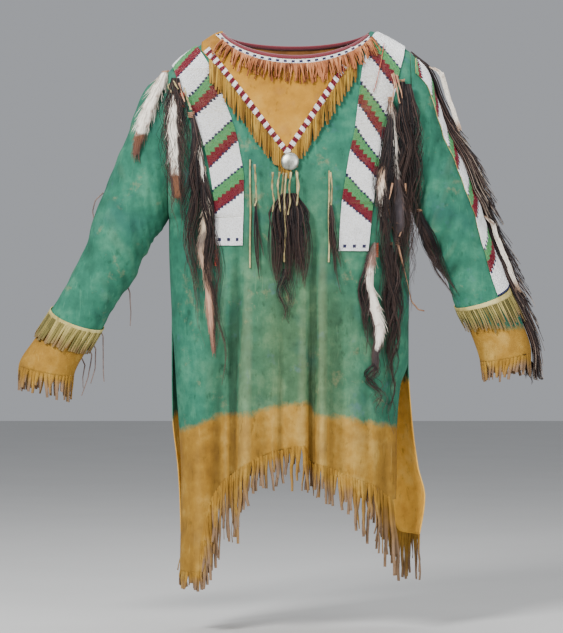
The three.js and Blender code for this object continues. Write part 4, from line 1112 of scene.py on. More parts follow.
# ---------------------------------------------------------------- neck
# Dark red trade cloth is folded over the neck's edge. Below it lie a band of white beads with small dark
# blocks, and a fringe of thin salmon hide that has dried into curls.
NECK_EDGE = {  # ways along its half turn, and points along a binding
    "from": 0.05, "band to": 0.89, "front to": 0.9, "to": 0.95, "count": 150,
}
FRONT_FOLD = [  # way from the edge, and height off the hide
    (8, -3.4), (4, -3.4), (0.5, -3.4), (-1.6, -1.5), (-2.2, 1.4), (-1.4, 4.6), (0.6, 5.8), (3, 6.0),
    (6.6, 5.8),
]
BACK_FOLD = [(8, -3.4), (4, -3.4), (0.5, -3.4), (-1.6, -1.6), (-1.6, 0.4), (0.4, 1.7), (3, 1.8), (6.4, 1.6)]
BINDING_WALL = 1.1 * MM
NECK_BAND = {"across": 4, "from": 7.4 * MM, "block": 7, "dark": 3}
NECK_FRINGE = {
    "from": 15.4 * MM, "reach": 39 * MM, "uneven": 0.35, "step": 2.7 * MM, "width": 4.6 * MM, "lean": 5 * MM,
    "start": 0.09, "end": 0.92,
}


@finish
def trade_cloth(tree):
    weave = tree.make("ShaderNodeTexWave", None, tree.where, Scale=420, Distortion=1)
    fuzz = tree.noise(700, 2, 0.7)
    colour = tree.ramp(fuzz * 0.6 + weave * 0.4, (0.3, tint(72, 14, 24)), (0.7, tint(132, 38, 52)))
    return {"Base Color": colour, "Roughness": 0.95, "Sheen Weight": 0.4,
            "Normal": bump(tree, weave + fuzz, 0.4, 0.0005)}


def neck_line(start, end, count, sign):
    """x and the way down along the neck's edge."""
    x = NECK["middle"] - NECK["half"] * 0.995 * np.cos(math.pi * np.linspace(start, end, count))
    return x, np.abs(neck_way(x, sign))


def along_neck(start, end, step):
    """x and the way down at even steps along the neck's front edge."""
    x, way = neck_line(start, end, 400, 1)
    return respaced(body(x, way), step, x, way)


def binding(name, fold, start, end, sign):
    """A strip of cloth folded over the neck's edge."""
    x, way = neck_line(start, end, NECK_EDGE["count"], sign)
    aside, off = (np.array(column) * MM for column in zip(*fold))
    points = beside(x, way, aside, off, sign)
    return cloth(name, points, [trade_cloth], turned=sign > 0, thickness=BINDING_WALL)


front_binding = binding("neck_binding_front_cloth", FRONT_FOLD, NECK_EDGE["from"], NECK_EDGE["front to"], 1)
back_binding = binding("neck_binding_back_cloth", BACK_FOLD, NECK_EDGE["from"], NECK_EDGE["to"], -1)
root(front_binding, "red_cloth", "neck_binding_front")
root(back_binding, "red_cloth", "neck_binding_back")

x, way = along_neck(NECK_EDGE["from"], NECK_EDGE["band to"], BEAD["along"])
kinds = np.full((len(x), NECK_BAND["across"]), WHITE)
kinds[np.arange(len(x)) % NECK_BAND["block"] < NECK_BAND["dark"], 1:3] = NAVY
band = beaded_edge("neck_band_beads", "neck_bead_band", x, way, NECK_BAND["from"], kinds)

x, way = along_neck(NECK_FRINGE["start"], NECK_FRINGE["end"], NECK_FRINGE["step"])
random = np.random.default_rng(53)
t = np.linspace(0, 1, 14)
reach = NECK_FRINGE["reach"] * (1 - NECK_FRINGE["uneven"] * random.random((len(x), 1)))
aside = NECK_FRINGE["from"] + reach * t
run, fall = np.gradient(x), np.gradient(way)
length = np.hypot(run, fall)
lean = random.normal(0, NECK_FRINGE["lean"], (len(x), 1)) * t
across = x[:, None] - 0.5 * (fall / length)[:, None] * aside + lean
down = way[:, None] + aside
off = BIB_HIDE["off"] + (1.6 + 6 * np.minimum(t * 2.5, 1) * (0.3 + 0.7 * random.random((len(x), 1)))) * MM
salmon_strips = finish(dyed_strips(
    [(0.25, tint(92, 50, 28)), (0.5, tint(150, 90, 54)), (0.75, tint(190, 130, 90))], tint(128, 70, 40),
    mottle=(35, 0.5), uneven=0, low=0.5, high=1.2, most=0.5), "salmon_strips")
curls = strands("neck_fringe_strips", lifted(across, down, off), NECK_FRINGE["width"], normals(across, down),
                salmon_strips, seed=9, wave=9 * MM, Flat=0.3, Curl=60.0, Twist=6.0, Taper=0.35)
root(curls, "salmon_hide", "neck_fringe")


# ---------------------------------------------------------------- disk
# A domed disk of white metal, stamped from thin sheet, covers the place where the two bands meet. It is
# sewn on through two holes at its back.
DISK = {
    "radius": 19 * MM, "height": 7 * MM, "rim": 1.4 * MM, "foot": 0.9, "dome": 0.94,
    "x": -4 * MM, "z": -246 * MM, "off": 10.2 * MM,
}
DISK_SIDES, DOME_STEPS = 48, 12


@finish
def white_metal(tree):
    worn = tree.noise(60, 4)
    scratch = tree.noise(120, 3, stretch=(1, 1, 12))
    return {
        "Base Color": tree.ramp(worn, (0.3, tint(128, 128, 116)), (0.65, tint(206, 208, 198))),
        "Metallic": 0.9,
        "Roughness": tree.between(worn + scratch * 0.4, 0.4, 0.9, 0.24, 0.5),
        "Normal": bump(tree, scratch, 0.12, 0.0004),
    }


dome_radius, dome_height = DISK["radius"] * DISK["dome"], DISK["height"] - DISK["rim"]
profile = np.array([  # radius, and height over the disk's foot
    (DISK["radius"] * DISK["foot"], 0), (DISK["radius"], 0.3 * MM), (DISK["radius"], DISK["rim"]),
    *((dome_radius * math.cos(a), DISK["rim"] + dome_height * math.sin(a))
      for a in np.linspace(0, math.pi / 2, DOME_STEPS + 1)[1:-1]),
])
turn = np.linspace(0, 2 * math.pi, DISK_SIDES, endpoint=False)
radius, rise = profile[:, :1], np.broadcast_to(profile[:, 1:], (len(profile), DISK_SIDES))
points = np.stack([radius * np.cos(turn), radius * np.sin(turn), rise], axis=-1).reshape(-1, 3)
points = np.concatenate([points, [[0, 0, DISK["height"]]]])
last = (len(profile) - 1) * DISK_SIDES
faces = squares(len(profile), DISK_SIDES, True)[:, [0, 3, 2, 1]].tolist()
faces.append(list(range(DISK_SIDES))[::-1])
faces += [[last + i, last + (i + 1) % DISK_SIDES, len(points) - 1] for i in range(DISK_SIDES)]
way = way_to(DISK["x"], DISK["z"])
seat = Vector(lifted(DISK["x"], way, DISK["off"]))
turned = Vector(normals(DISK["x"], way)).to_track_quat("Z", "Y").to_matrix()
mesh = meshed("disk", [turned @ Vector(p) + seat for p in points], faces=faces)
mesh.shade_smooth()
mesh.materials.append(white_metal)
root(added("disk_metal", mesh), "silver_disk", "disk")


# ---------------------------------------------------------------- hair and ermine locks
# Locks of wavy dark hair, ermine skins and thin tails of fur hang along the shoulder strips and from the
# chest. Each is bound at its top with a wrapped thong, and some are wrapped with dyed quills.
HAIR = {  # strands, tufts, sway, waves, where its shortest ends are, width of a hair; then x, z, half width
    # and half thickness down the lock; what it replaces is the CAD node of its name, if there is one
    "hair_lock_center": ((330, 13, 4, 1.3, 0.72, 1.7), [
        (-6, -312, 26, 7), (-7, -340, 34, 9), (-6, -390, 37, 11), (-4, -450, 37, 10), (-2, -512, 35, 6),
    ]),
    "hair_center_wisps": ((26, 4, 6, 1.4, 0.7, 1.4), [
        (-10, -470, 22, 4), (-12, -520, 22, 3), (-6, -592, 20, 2),
    ]),
    "hair_lock_chest_right": ((46, 4, 3, 1.0, 0.6, 1.5), [
        (-77, -322, 2, 2), (-73, -380, 6, 4), (-66, -440, 8, 5), (-60, -512, 6, 3),
    ]),
    "hair_lock_chest_left": ((60, 5, 3, 1.2, 0.55, 1.5), [
        (80, -330, 3, 3), (86, -400, 9, 5), (94, -450, 10, 5), (100, -516, 6, 3),
    ]),
    "hair_right_upper": ((105, 11, 8, 3.0, 0.3, 1.6), [
        (-208, -146, 6, 4), (-200, -210, 10, 7), (-206, -290, 16, 9), (-208, -380, 23, 10),
        (-206, -470, 22, 7), (-190, -560, 18, 5), (-170, -652, 14, 4),
    ]),
    "hair_right_lower": ((130, 9, 8, 3.5, 0.35, 1.5), [
        (-186, -262, 7, 4), (-176, -350, 14, 7), (-168, -460, 16, 7), (-160, -560, 15, 6),
        (-152, -640, 13, 4), (-146, -745, 12, 3),
    ]),
    "hair_left_upper": ((210, 11, 9, 3.5, 0.35, 1.6), [
        (232, -76, 10, 6), (236, -160, 19, 9), (240, -250, 21, 10), (240, -340, 19, 9), (232, -440, 16, 7),
        (226, -520, 12, 5), (222, -600, 8, 3),
    ]),
    "hair_left_lower": ((120, 8, 8, 3.0, 0.35, 1.6), [
        (206, -420, 10, 5), (212, -500, 14, 7), (212, -600, 13, 6), (208, -700, 9, 4), (206, -812, 5, 3),
    ]),
    "hair_underarm_left": ((150, 13, 5, 1.5, 0.3, 1.5), [
        (270, -348, 8, 5), (287, -405, 14, 7), (308, -452, 14, 6), (334, -500, 13, 5), (352, -540, 10, 3),
    ]),
    "hair_right_loose": ((78, 40, 7, 5.5, 0.35, 1.3), [
        (-246, -66, 20, 4), (-246, -140, 40, 6), (-240, -230, 44, 7), (-232, -320, 40, 7),
        (-226, -420, 30, 5),
    ]),
    "hair_left_loose": ((105, 38, 8, 6.0, 0.35, 1.3), [
        (244, -80, 16, 4), (250, -150, 24, 6), (250, -260, 26, 7), (246, -380, 26, 6), (238, -500, 24, 5),
        (236, -590, 20, 3),
    ]),
    "hair_left_inner_loose": ((150, 24, 7, 4.0, 0.3, 1.5), [
        (212, -130, 14, 4), (206, -190, 24, 6), (198, -300, 26, 6), (204, -420, 24, 6), (208, -560, 18, 5),
        (206, -730, 12, 3),
    ]),
    "hair_ermine_tail": ((26, 9, 12, 2.6, 0.5, 1.4), [
        (179, -655, 8, 3), (174, -690, 13, 3), (184, -745, 14, 3), (205, -800, 14, 3),
    ]),
    "hair_ermine_side": ((46, 7, 6, 2.0, 0.4, 1.5), [
        (160, -440, 5, 3), (153, -500, 7, 4), (155, -570, 8, 4), (168, -640, 8, 3), (172, -676, 6, 3),
    ]),
    "hair_cuff_left": ((60, 7, 4, 1.2, 0.6, 1.5), [
        (492, -650, 5, 3), (502, -672, 11, 5), (508, -696, 12, 4), (511, -716, 10, 3),
    ]),
}
SNOW, SOOT, RUST, FAWN = tint(236, 228, 214), tint(50, 38, 38), tint(112, 70, 46), tint(190, 158, 132)
GREY = tint(104, 92, 84)
ERMINES = {  # colours down the skin, how dark its two edges are, and its form as above
    "ermine_right_outer": ([(0.0, SNOW), (0.74, SNOW), (0.79, RUST), (1.0, tint(92, 56, 40))], 0.0, 0.25, [
        (-270, -50, 8, 5), (-280, -78, 15, 8), (-300, -125, 16, 9), (-317, -175, 14, 9), (-325, -205, 10, 8),
        (-330, -230, 8, 6),
    ]),
    "ermine_right_inner": ([(0.0, SNOW), (0.72, SNOW), (0.8, RUST), (1.0, tint(140, 92, 60))], 0.9, 0.9, [
        (-249, -100, 8, 5), (-251, -130, 16, 8), (-250, -200, 17, 9), (-246, -268, 14, 9),
        (-243, -300, 13, 9), (-241, -322, 11, 8),
    ]),
    "ermine_left_upper": ([
        (0.0, RUST), (0.16, SNOW), (0.52, SNOW), (0.58, SOOT), (0.85, tint(70, 62, 66)), (1.0, SOOT),
    ], 0.6, 0.6, [
        (206, -112, 5, 4), (210, -150, 9, 5), (214, -200, 9, 6), (216, -262, 8, 6), (219, -300, 14, 8),
        (225, -345, 16, 9), (226, -385, 12, 7), (222, -404, 7, 5),
    ]),
    "ermine_left_lower": ([
        (0.0, GREY), (0.14, tint(170, 130, 116)), (0.22, SNOW), (0.8, SNOW), (0.86, SOOT),
    ], 1.0, 0.1, [
        (174, -414, 5, 4), (168, -444, 9, 6), (164, -470, 12, 7), (162, -500, 10, 7), (170, -530, 11, 7),
        (174, -560, 16, 8), (183, -596, 14, 8), (181, -626, 10, 7), (175, -656, 8, 5), (177, -684, 4, 3),
    ]),
    "ermine_right_slip": ([(0.0, SNOW), (1.0, SNOW)], 0.9, 0.4, [
        (-196, -190, 4, 3), (-195, -230, 8, 5), (-190, -262, 8, 5), (-187, -296, 5, 4),
    ]),
    "fur_tail_right": ([
        (0.0, SNOW), (0.2, tint(214, 190, 160)), (0.28, GREY), (0.42, FAWN), (0.7, tint(196, 150, 122)),
        (1.0, tint(150, 104, 84)),
    ], 0.3, 0.6, [
        (-184, -306, 6, 4), (-178, -345, 11, 7), (-182, -388, 11, 7), (-189, -422, 12, 7),
        (-184, -456, 10, 6), (-176, -500, 9, 6), (-172, -560, 9, 6), (-167, -610, 6, 4), (-164, -648, 3, 2),
    ]),
    "ermine_left_slip": ([(0.0, RUST), (0.3, tint(206, 178, 150)), (0.6, SNOW), (1.0, SOOT)], 0.9, 0.9, [
        (196, -240, 5, 3), (190, -270, 11, 6), (188, -310, 12, 6), (190, -352, 9, 5), (192, -380, 5, 3),
    ]),
}
LOCK_GAP = 4 * MM
LOCK_PLACES, LOCK_ASIDES = 14, 7  # where a lock's form is measured, down it and across it
HAIR_STEPS = 12  # points to a hair
TUFT = {  # how far tufts and hairs stand from the middle, how they gather at a tip, and a head's width
    "far": 0.86, "own": 0.34, "fine": 0.16, "gathers": 0.7, "head": 0.45,
}
FINE_TUFTS = 20  # from this many on, the tufts of a lock are fine and close
FUR = {"count": 430, "length": 30 * MM, "width": 1.4 * MM, "skin": 0.8, "full": 0.25}
LOCK_FACING = np.array([0.0, -1.0, 0.0])
starts = np.cumsum([0] + [len(points) for points, _ in backing[:-1]])
shirt = BVHTree.FromPolygons(np.concatenate([points for points, _ in backing]).tolist(),
                             np.concatenate([quads + k for (_, quads), k in zip(backing, starts)]).tolist())


def front_of(x, z):
    """How far forward the shirt stands at x and z."""
    hit = shirt.ray_cast(Vector((x, -0.6, z)), Vector((0, 1, 0)))[0]
    return hit.y if hit else 0.0


def lock_form(table):
    """The way down a lock, and its x, y, half width and half thickness against it."""
    rows = [(-z, x, half, thick) for x, z, half, thick in table]
    x_at, half_at, thick_at = curves(rows, 1, 2, 3)
    down = np.linspace(rows[0][0], rows[-1][0], LOCK_PLACES) * MM
    near = []
    for z in down:
        reach = [front_of(x_at(z) + half_at(z) * aside, -z) - thick_at(z) * math.sqrt(1 - aside * aside)
                 for aside in np.linspace(-1, 1, LOCK_ASIDES)]
        near.append(min(reach) - LOCK_GAP)
    smooth = np.convolve(np.pad(near, 1, mode="edge"), [0.25, 0.5, 0.25], mode="valid")
    y = np.minimum(near, smooth)
    return down, x_at, lambda z: np.interp(z, down, y), half_at, thick_at


@finish
def dark_hair(tree):
    tone, along = tree.attribute("tone"), tree.attribute("along")
    hair = tree.ramp(tone, (0.0, tint(13, 10, 12)), (0.6, tint(31, 25, 27)), (1.0, tint(82, 62, 54)))
    hair = tree.patched(hair, tint(92, 70, 60), along, 0.5, 1.1, 0.35)
    return {"Base Color": hair, "Roughness": 0.55, "Specular IOR Level": 0.25}


def ermine_fur(stops, left, right):
    """The look of an ermine skin: its colours down it, and how dark its two edges are."""
    def build(tree):
        tone, down, edge = (tree.attribute(name) for name in ("tone", "down", "edge"))
        ragged = (tree.noise(60, 3) - 0.5) * 0.2 + (tone - 0.5) * 0.1
        fur = tree.ramp(down + ragged, *stops)
        stain = tree.noise(48, 4, 0.7) + edge * edge * 0.08
        fur = tree.patched(fur, tint(150, 112, 92), stain, 0.58, 0.68, 0.6)
        for side, dark in ((-1, left), (1, right)):
            fur = tree.patched(fur, tint(62, 44, 40), edge * side + ragged * 2.5, 0.55, 0.75, dark)
        fur = tree.blend(tree.between(tone, 0.5, 0.0, 0, 0.6), fur, tint(150, 128, 104), "MULTIPLY")
        return {"Base Color": fur, "Roughness": 0.85, "Sheen Weight": 0.2}

    return build


def tress(name, table, count, tufts, sway, waves, short, width, seed):
    """Hair in tufts: the hairs of a tuft share its waves and draw together towards its tip."""
    down, x_at, y_at, half_at, thick_at = lock_form(table)
    random = np.random.default_rng(seed)
    top, length = down[0], down[-1] - down[0]
    tuft = random.integers(tufts, size=count)
    turn, far = random.uniform(0, 2 * math.pi, tufts), TUFT["far"] * np.sqrt(random.random(tufts))
    phase, beat = random.uniform(0, 2 * math.pi, tufts), waves * random.uniform(0.7, 1.35, tufts)
    end = short + (1 - short) * random.random(tufts) ** 0.8
    side, deep, phase, beat, end = (
        values[tuft][:, None] for values in (far * np.cos(turn), far * np.sin(turn), phase, beat, end)
    )
    t = np.linspace(0, 1, HAIR_STEPS) * np.minimum(end * random.uniform(0.7, 1.06, count)[:, None], 1.02)
    gather = 1 - TUFT["gathers"] * np.clip(t / end, 0, 1)
    own = random.normal(0, 1, (2, count, 1)) * (TUFT["own"] if tufts < FINE_TUFTS else TUFT["fine"]) * gather
    opening = TUFT["head"] + (1 - TUFT["head"]) * np.minimum(t * 5, 1)
    side, deep = np.clip(side + own[0], -1.2, 1.2) * opening, np.clip(deep + own[1], -1, 1) * opening
    swing, wave = sway * MM * np.minimum(t * 4, 1), 2 * math.pi * beat * t + phase
    z = top + length * t
    x = x_at(z) + half_at(z) * side + swing * np.sin(wave)
    y = y_at(z) + thick_at(z) * deep - np.abs(0.3 * swing * np.cos(wave))
    lines = np.stack([x, y, -z], axis=-1)
    return strands(f"{name}_strands", lines, 0.8 * width * MM, LOCK_FACING, dark_hair, seed=seed,
                   wave=(4 * MM, 1 * MM, 3 * MM), down=t, Curl=22.0, Own=2.5, Flat=0.7, Twist=1.0, Taper=0.7)


def rounded_tube(name, centre, across, deep, material, **marks):
    """A closed tube with oval sections along a nearly upright line."""
    sides, rings = 16, len(centre)
    turn = np.linspace(0, 2 * math.pi, sides, endpoint=False)
    points = centre[:, None, :] + np.stack([
        across[:, None] * np.cos(turn), deep[:, None] * np.sin(turn), np.zeros((rings, sides)),
    ], axis=-1)
    faces = squares(rings, sides, True).tolist()
    faces += [list(range(sides)), [(rings - 1) * sides + k for k in range(sides)][::-1]]
    mesh = meshed(name, points, faces=faces)
    mark(mesh, "FLOAT", {key: values[:, None] for key, values in marks.items()}, (rings, sides))
    mark(mesh, "FLOAT", {"edge": np.cos(turn)}, (rings, sides))
    mesh.shade_smooth()
    mesh.materials.append(material)
    return added(name, mesh)


def ermine(name, table, look, seed):
    """An ermine skin: a closed tube with blunt ends, and hairs that lie down along it."""
    down, x_at, y_at, half_at, thick_at = lock_form(table)
    random = np.random.default_rng(seed)
    top, length = down[0], down[-1] - down[0]
    t = np.concatenate([[0, 0.004, 0.012], np.linspace(0.03, 0.97, 20), [0.988, 0.996, 1]])
    blunt = np.sqrt(np.clip(1 - (1 - np.minimum(t, 1 - t) / 0.03) ** 2, 0.04, 1))
    blunt = np.where((t > 0.03) & (t < 0.97), 1, blunt)
    z = top + length * t
    centre = np.stack([x_at(z), y_at(z), -z], axis=-1)
    uneven = 1 + 0.14 * np.sin(31 * t + seed) + 0.1 * np.sin(67 * t + 2 * seed)
    wide, thick = (FUR["skin"] * at(z) * blunt for at in (half_at, thick_at))
    skin = rounded_tube(f"{name}_skin", centre, wide * uneven, thick, look, down=t, tone=0.6 + 0 * t)
    count, steps = int(FUR["count"] * min(1, length / FUR["full"])), 4
    start = random.random((count, 1)) ** 1.1 * 0.96
    turn = random.uniform(0, 2 * math.pi, (count, 1))
    t = start + np.linspace(0, 1, steps) * FUR["length"] / length * (0.5 + 0.6 * random.random((count, 1)))
    z = top + length * t
    out = 0.7 + (0.14 + 0.8 * random.random((count, 1)) ** 2) * np.linspace(0, 1, steps)
    lines = np.stack([
        x_at(z) + half_at(z) * np.cos(turn) * out, y_at(z) + thick_at(z) * np.sin(turn) * out, -z,
    ], axis=-1)
    hairs = strands(f"{name}_hairs", lines, FUR["width"], LOCK_FACING, look, seed=seed,
                    wave=(6 * MM, 1 * MM, 5 * MM), down=t, edge=np.cos(turn),
                    Curl=30.0, Flat=0.5, Twist=1.0, Taper=0.8)
    return skin, hairs


for order, (name, (form, table)) in enumerate(HAIR.items()):
    piece = tress(name, table, *form, seed=70 + order)
    root(piece, "dark_hair", *([name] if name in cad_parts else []))
for order, (name, (*colours, table)) in enumerate(ERMINES.items()):
    skin, hairs = ermine(name, table, finish(ermine_fur(*colours), f"{name}_fur"), seed=90 + order)
    root(skin, "ermine")
    root(hairs, "ermine", *([name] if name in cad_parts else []))


# ---------------------------------------------------------------- bindings
# Thongs are wound round the heads of the locks, and twisted thongs hang over the middle one, from the strips
# and from the wearer's right cuff. Dyed quills are wound round some of the tails.
COILS = [  # x, z of the top, length, radius, turns
    (-270, -45, 9, 6, 3), (-249, -95, 9, 6, 3), (-212, -140, 12, 6, 3), (-186, -256, 9, 4, 3),
    (232, -70, 12, 5, 3), (206, -108, 9, 4, 3), (206, -414, 9, 5, 3), (270, -342, 10, 5, 3),
    (224, -398, 22, 5, 5),
]
QUILLS = [
    (-231, -99, 30, 4, 9), (-159, -430, 34, 3, 10), (178, -416, 28, 3, 8), (186, -296, 18, 3, 6),
    (452, -452, 22, 3, 7), (462, -474, 12, 3, 4),
]
TWISTS = [  # x and z down each thong
    [(-40, -268), (-42, -300), (-38, -330), (-41, -352)],
    [(-26, -268), (-30, -296), (-27, -325), (-24, -350)], [(-2, -268), (-6, -300), (-4, -330), (-8, -357)],
    [(10, -268), (14, -300), (10, -338)], [(-12, -270), (-16, -320), (-14, -380), (-17, -456)],
    [(-78, -252), (-76, -290), (-74, -328), (-78, -340)], [(80, -268), (84, -300), (82, -338)],
    [(-254, -98), (-262, -84), (-250, -72), (-240, -92)], [(-212, -136), (-220, -112), (-226, -88)],
]
PINK_TWISTS = [
    [(224, -420), (234, -460), (246, -505), (254, -536), (268, -556), (283, -558)],
    [(211, -290), (203, -330), (206, -370), (220, -400)],
    [(238, -290), (245, -330), (241, -368), (226, -400)], [(210, -60), (216, -84), (212, -108), (208, -132)],
    [(220, -62), (226, -88), (232, -112)], [(214, -58), (221, -96), (226, -124)],
    [(-238, -78), (-232, -98), (-226, -120)],
]
CUFF_THONGS = [
    [(-353, -498), (-345, -520), (-343, -560), (-345, -592)],
    [(-414, -588), (-403, -612), (-402, -660), (-400, -708)],
    [(-438, -626), (-427, -652), (-434, -700), (-449, -738)],
    [(-452, -650), (-441, -674), (-446, -700), (-445, -722)],
    [(-430, -612), (-418, -640), (-420, -680), (-428, -712)],
    [(-402, -306), (-419, -322), (-425, -346), (-420, -366), (-411, -356)],
]
LOOSE_THREAD = [[(196, 10), (188, -34), (180, -70), (172, -98)]]
UNDERARM = -16 * MM


@finish
def quill_wrapping(tree):
    turns = tree.make("ShaderNodeTexWave", {"bands_direction": "Z"}, tree.where, Scale=150)
    colour = tree.ramp(tree.noise(24, 2), (0.4, tint(168, 44, 34)), (0.6, tint(190, 96, 60)))
    return {"Base Color": tree.blend(turns * 0.4, colour, tint(96, 26, 22)), "Roughness": 0.6,
            "Normal": bump(tree, turns, 0.6, 0.0006)}


def thong_look(dark, light):
    """The look of a thong, mottled from dark to light."""
    def build(tree):
        return {"Base Color": tree.ramp(tree.noise(50, 4), (0.3, dark), (0.7, light)), "Roughness": 0.85}

    return build


def coils(name, table, width, material):
    """Thongs wound round the heads of locks."""
    lines = []
    t = np.linspace(0, 1, 60)
    for x, z, length, radius, turns in table:
        y = front_of(x * MM, (z - length / 2) * MM) - (radius * 0.8 + 3) * MM
        turn = 2 * math.pi * turns * t
        lines.append(np.stack([
            x * MM + radius * MM * np.cos(turn), y + radius * 0.8 * MM * np.sin(turn), (z - length * t) * MM,
        ], axis=-1))
    return strands(name, np.array(lines), width, np.array([0.0, 0.0, 1.0]), material, seed=12, wave=2 * MM,
                   Curl=30.0, Flat=0.7, Twist=0.0, Taper=0.1)


def draped_lines(table, steps, off):
    """Lines over what hangs below them, from their x and z."""
    lines = []
    for route in table:
        x, z = (np.array(values) * MM for values in zip(*route))
        t, at = np.linspace(0, 1, steps), np.linspace(0, 1, len(route))
        x, z = np.interp(t, at, x), np.interp(t, at, z)
        y = np.array([front_of(a, b) for a, b in zip(x, z)]) - off
        y = np.convolve(np.pad(y, 2, mode="edge"), np.ones(5) / 5, mode="valid")
        lines.append(np.stack([x, y, z], axis=-1))
    return np.array(lines)


binding_thong = finish(thong_look(tint(132, 90, 66), tint(206, 160, 126)), "binding_thong")
smoked_thong = finish(thong_look(tint(78, 64, 62), tint(132, 110, 100)), "smoked_thong")
root(coils("lock_bindings", COILS, 2.8 * MM, binding_thong), "pale_hide")
root(coils("quill_bindings", QUILLS, 3.0 * MM, quill_wrapping), "red_cloth")
loose = draped_lines(CUFF_THONGS, 16, 0)
loose[..., 1] = UNDERARM
thread, twists, pink = (draped_lines(table, steps, off * MM) for table, steps, off in (
    (LOOSE_THREAD, 20, 5), (TWISTS, 24, 21), (PINK_TWISTS, 24, 23),
))
for name, slot, look, lines, width, wave, seed, curl, flat, twist, taper in (
    ("loose_thread", "red_cloth", quill_wrapping, thread, 1.9, 3, 16, 20.0, 0.6, 2.0, 0.2),
    ("twisted_thongs", "pale_hide", thong_hide, twists, 4.6, 5, 13, 30.0, 0.5, 30.0, 0.3),
    ("pink_thongs", "pale_hide", binding_thong, pink, 4.0, 6, 15, 30.0, 0.4, 20.0, 0.3),
    ("cuff_thongs", "pale_hide", smoked_thong, loose, 2.9, 8, 14, 20.0, 0.4, 3.0, 0.35),
):
    thongs = strands(name, lines, width * MM, LOCK_FACING, look, seed=seed, wave=wave * MM,
                     Curl=curl, Flat=flat, Twist=twist, Taper=taper)
    root(thongs, slot)


# ---------------------------------------------------------------- sleeve hair
# Bunches of dark hair and strips of ermine are sewn in a row along the outer edge of the wearer's left
# sleeve. They lie down along it, stand off it at their tips, and stream past the cuff.
ROW = {"from": -0.1, "to": 7.2, "bunches": 34, "hairs": 20, "width": 2.1 * MM, "back": 9 * MM}
REACH = (2.0, 1.5)  # the fewest rings that a hair spans, and how many more it may
STAND = (9, 30)  # the least that a tip stands off the sleeve, and how much more it may
CREAM = [(0.85, 2.5, 27), (5.0, 7.0, 17)]  # rings between which ermine hangs, and how far it stands off
CREAM_HAIRS = 150


@finish
def brown_hair(tree):
    tone, along = tree.attribute("tone"), tree.attribute("along")
    hair = tree.ramp(tone, (0.0, tint(20, 15, 16)), (0.55, tint(48, 37, 36)), (1.0, tint(98, 76, 67)))
    hair = tree.patched(hair, tint(196, 180, 160), along * tone, 0.6, 0.98, 0.65)
    return {"Base Color": hair, "Roughness": 0.6, "Specular IOR Level": 0.3}


random = np.random.default_rng(91)
bunch = np.repeat(np.arange(ROW["bunches"]), ROW["hairs"])
count = len(bunch)
start = (ROW["from"] + (ROW["to"] - ROW["from"]) * (bunch / (ROW["bunches"] - 1))
         + random.normal(0, 0.05, count))[:, None]
t = np.linspace(0, 1, 12)
reach = (REACH[0] + REACH[1] * random.random(count))[:, None]
reach = reach * (1 - 0.25 * eased(start, 1, 3) + 0.45 * eased(start, 5, 7.2))
ring = np.clip(start + reach * t, 0.02, 9.95)
stand = STAND[0] + STAND[1] * random.random(count)[:, None] ** 1.5
off_tip = stand * (0.5 + 0.5 * eased(ring, 1, 4)) * (1 - 0.3 * eased(ring, 7, 9))
turn = (random.normal(0.02, 0.09, ROW["bunches"])[bunch] + random.normal(0, 0.03, count))[:, None]
lines = sleeve("left", ring, turn, (3 + off_tip * t ** 1.15) * MM)
phase = random.uniform(0, 2 * math.pi, ROW["bunches"])[bunch][:, None]
lines[..., 0] += 2.5 * MM * t * np.sin(7 * t + phase)
lines[..., 1] += ROW["back"] + random.normal(0, 6 * MM, (count, 1)) * t
lines[..., 2] -= 12 * MM * eased(start, 6, 7.2) * t
piece = strands("sleeve_hair_left_strands", lines, ROW["width"], LOCK_FACING, brown_hair, seed=92,
                wave=(8 * MM, 4 * MM, 7 * MM), Curl=11.0, Own=1.2, Flat=0.8, Twist=0.5, Taper=0.6)
root(piece, "dark_hair", "sleeve_hair_left")
fur = finish(ermine_fur([(0.0, FAWN), (0.2, SNOW), (0.88, SNOW), (1.0, FAWN)], 0, 0), "sleeve_ermine")
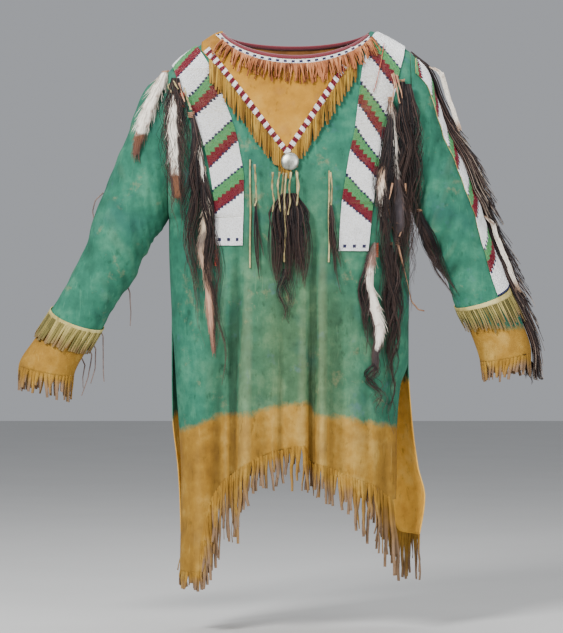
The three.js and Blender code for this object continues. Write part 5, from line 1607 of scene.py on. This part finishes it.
for number, (start, end, away) in enumerate(CREAM):
    begin = start + (end - start) * random.random((CREAM_HAIRS, 1)) * 0.85
    t = np.linspace(0, 1, 5)
    ring = begin + 0.5 * t * (0.6 + 0.6 * random.random((CREAM_HAIRS, 1)))
    lift = (away + 9 * (random.random((CREAM_HAIRS, 1)) - 0.5)) * MM
    lift = lift * np.clip((ring - start) * 2.5 + 0.3, 0, 1)
    lines = sleeve("left", np.minimum(ring, end + 0.2), 0, lift)
    lines[..., 1] += ROW["back"] - (14 + 3 * random.random((CREAM_HAIRS, 1))) * MM
    piece = strands(f"sleeve_ermine_{number}", lines, 1.8 * MM, LOCK_FACING, fur, seed=95 + number,
                    wave=6 * MM, down=(ring - start) / (end - start),
                    Curl=20.0, Flat=0.5, Twist=1.0, Taper=0.7)
    root(piece, "ermine")


# ---------------------------------------------------------------- floor and light
# A plain pale floor lies well under the shirt, and broad soft lights stand before and above it.
FLOOR = {"half": 12.0, "z": -1.24}
LIGHTS = [  # name, place, size, power
    ("key", (-1.9, -2.9, 1.9), 1.1, 250),
    ("fill", (2.4, -3.4, 0.2), 2.2, 110),
    ("top", (0.0, 0.4, 2.6), 2.2, 70),
]
LIT_PLACE = Vector((0, 0, -0.5))  # what the lights are turned to
STUDIO = {"Color": (0.62, 0.64, 0.68, 1), "Strength": 0.6}


@finish
def pale_floor(tree):
    colour = tree.blend(tree.noise(3, 3), (0.55, 0.55, 0.54, 1), (0.6, 0.6, 0.59, 1))
    return {"Base Color": colour, "Roughness": 0.9}


signs = [(-1, -1), (1, -1), (1, 1), (-1, 1)]
corners = [(x * FLOOR["half"], y * FLOOR["half"], FLOOR["z"]) for x, y in signs]
floor = added("floor", meshed("floor", corners, faces=[(0, 1, 2, 3)]))
floor.data.materials.append(pale_floor)
for name, place, size, power in LIGHTS:
    lamp = bpy.data.lights.new(name, "AREA")
    lamp.shape = "SQUARE"
    lamp.size = size
    lamp.energy = power
    light = added(name, lamp)
    light.location = place
    light.rotation_euler = (LIT_PLACE - Vector(place)).to_track_quat("-Z", "Y").to_euler()
world = bpy.data.worlds.new("studio")
world.use_nodes = True
for name, value in STUDIO.items():
    world.node_tree.nodes["Background"].inputs[name].default_value = value
bpy.context.scene.world = world
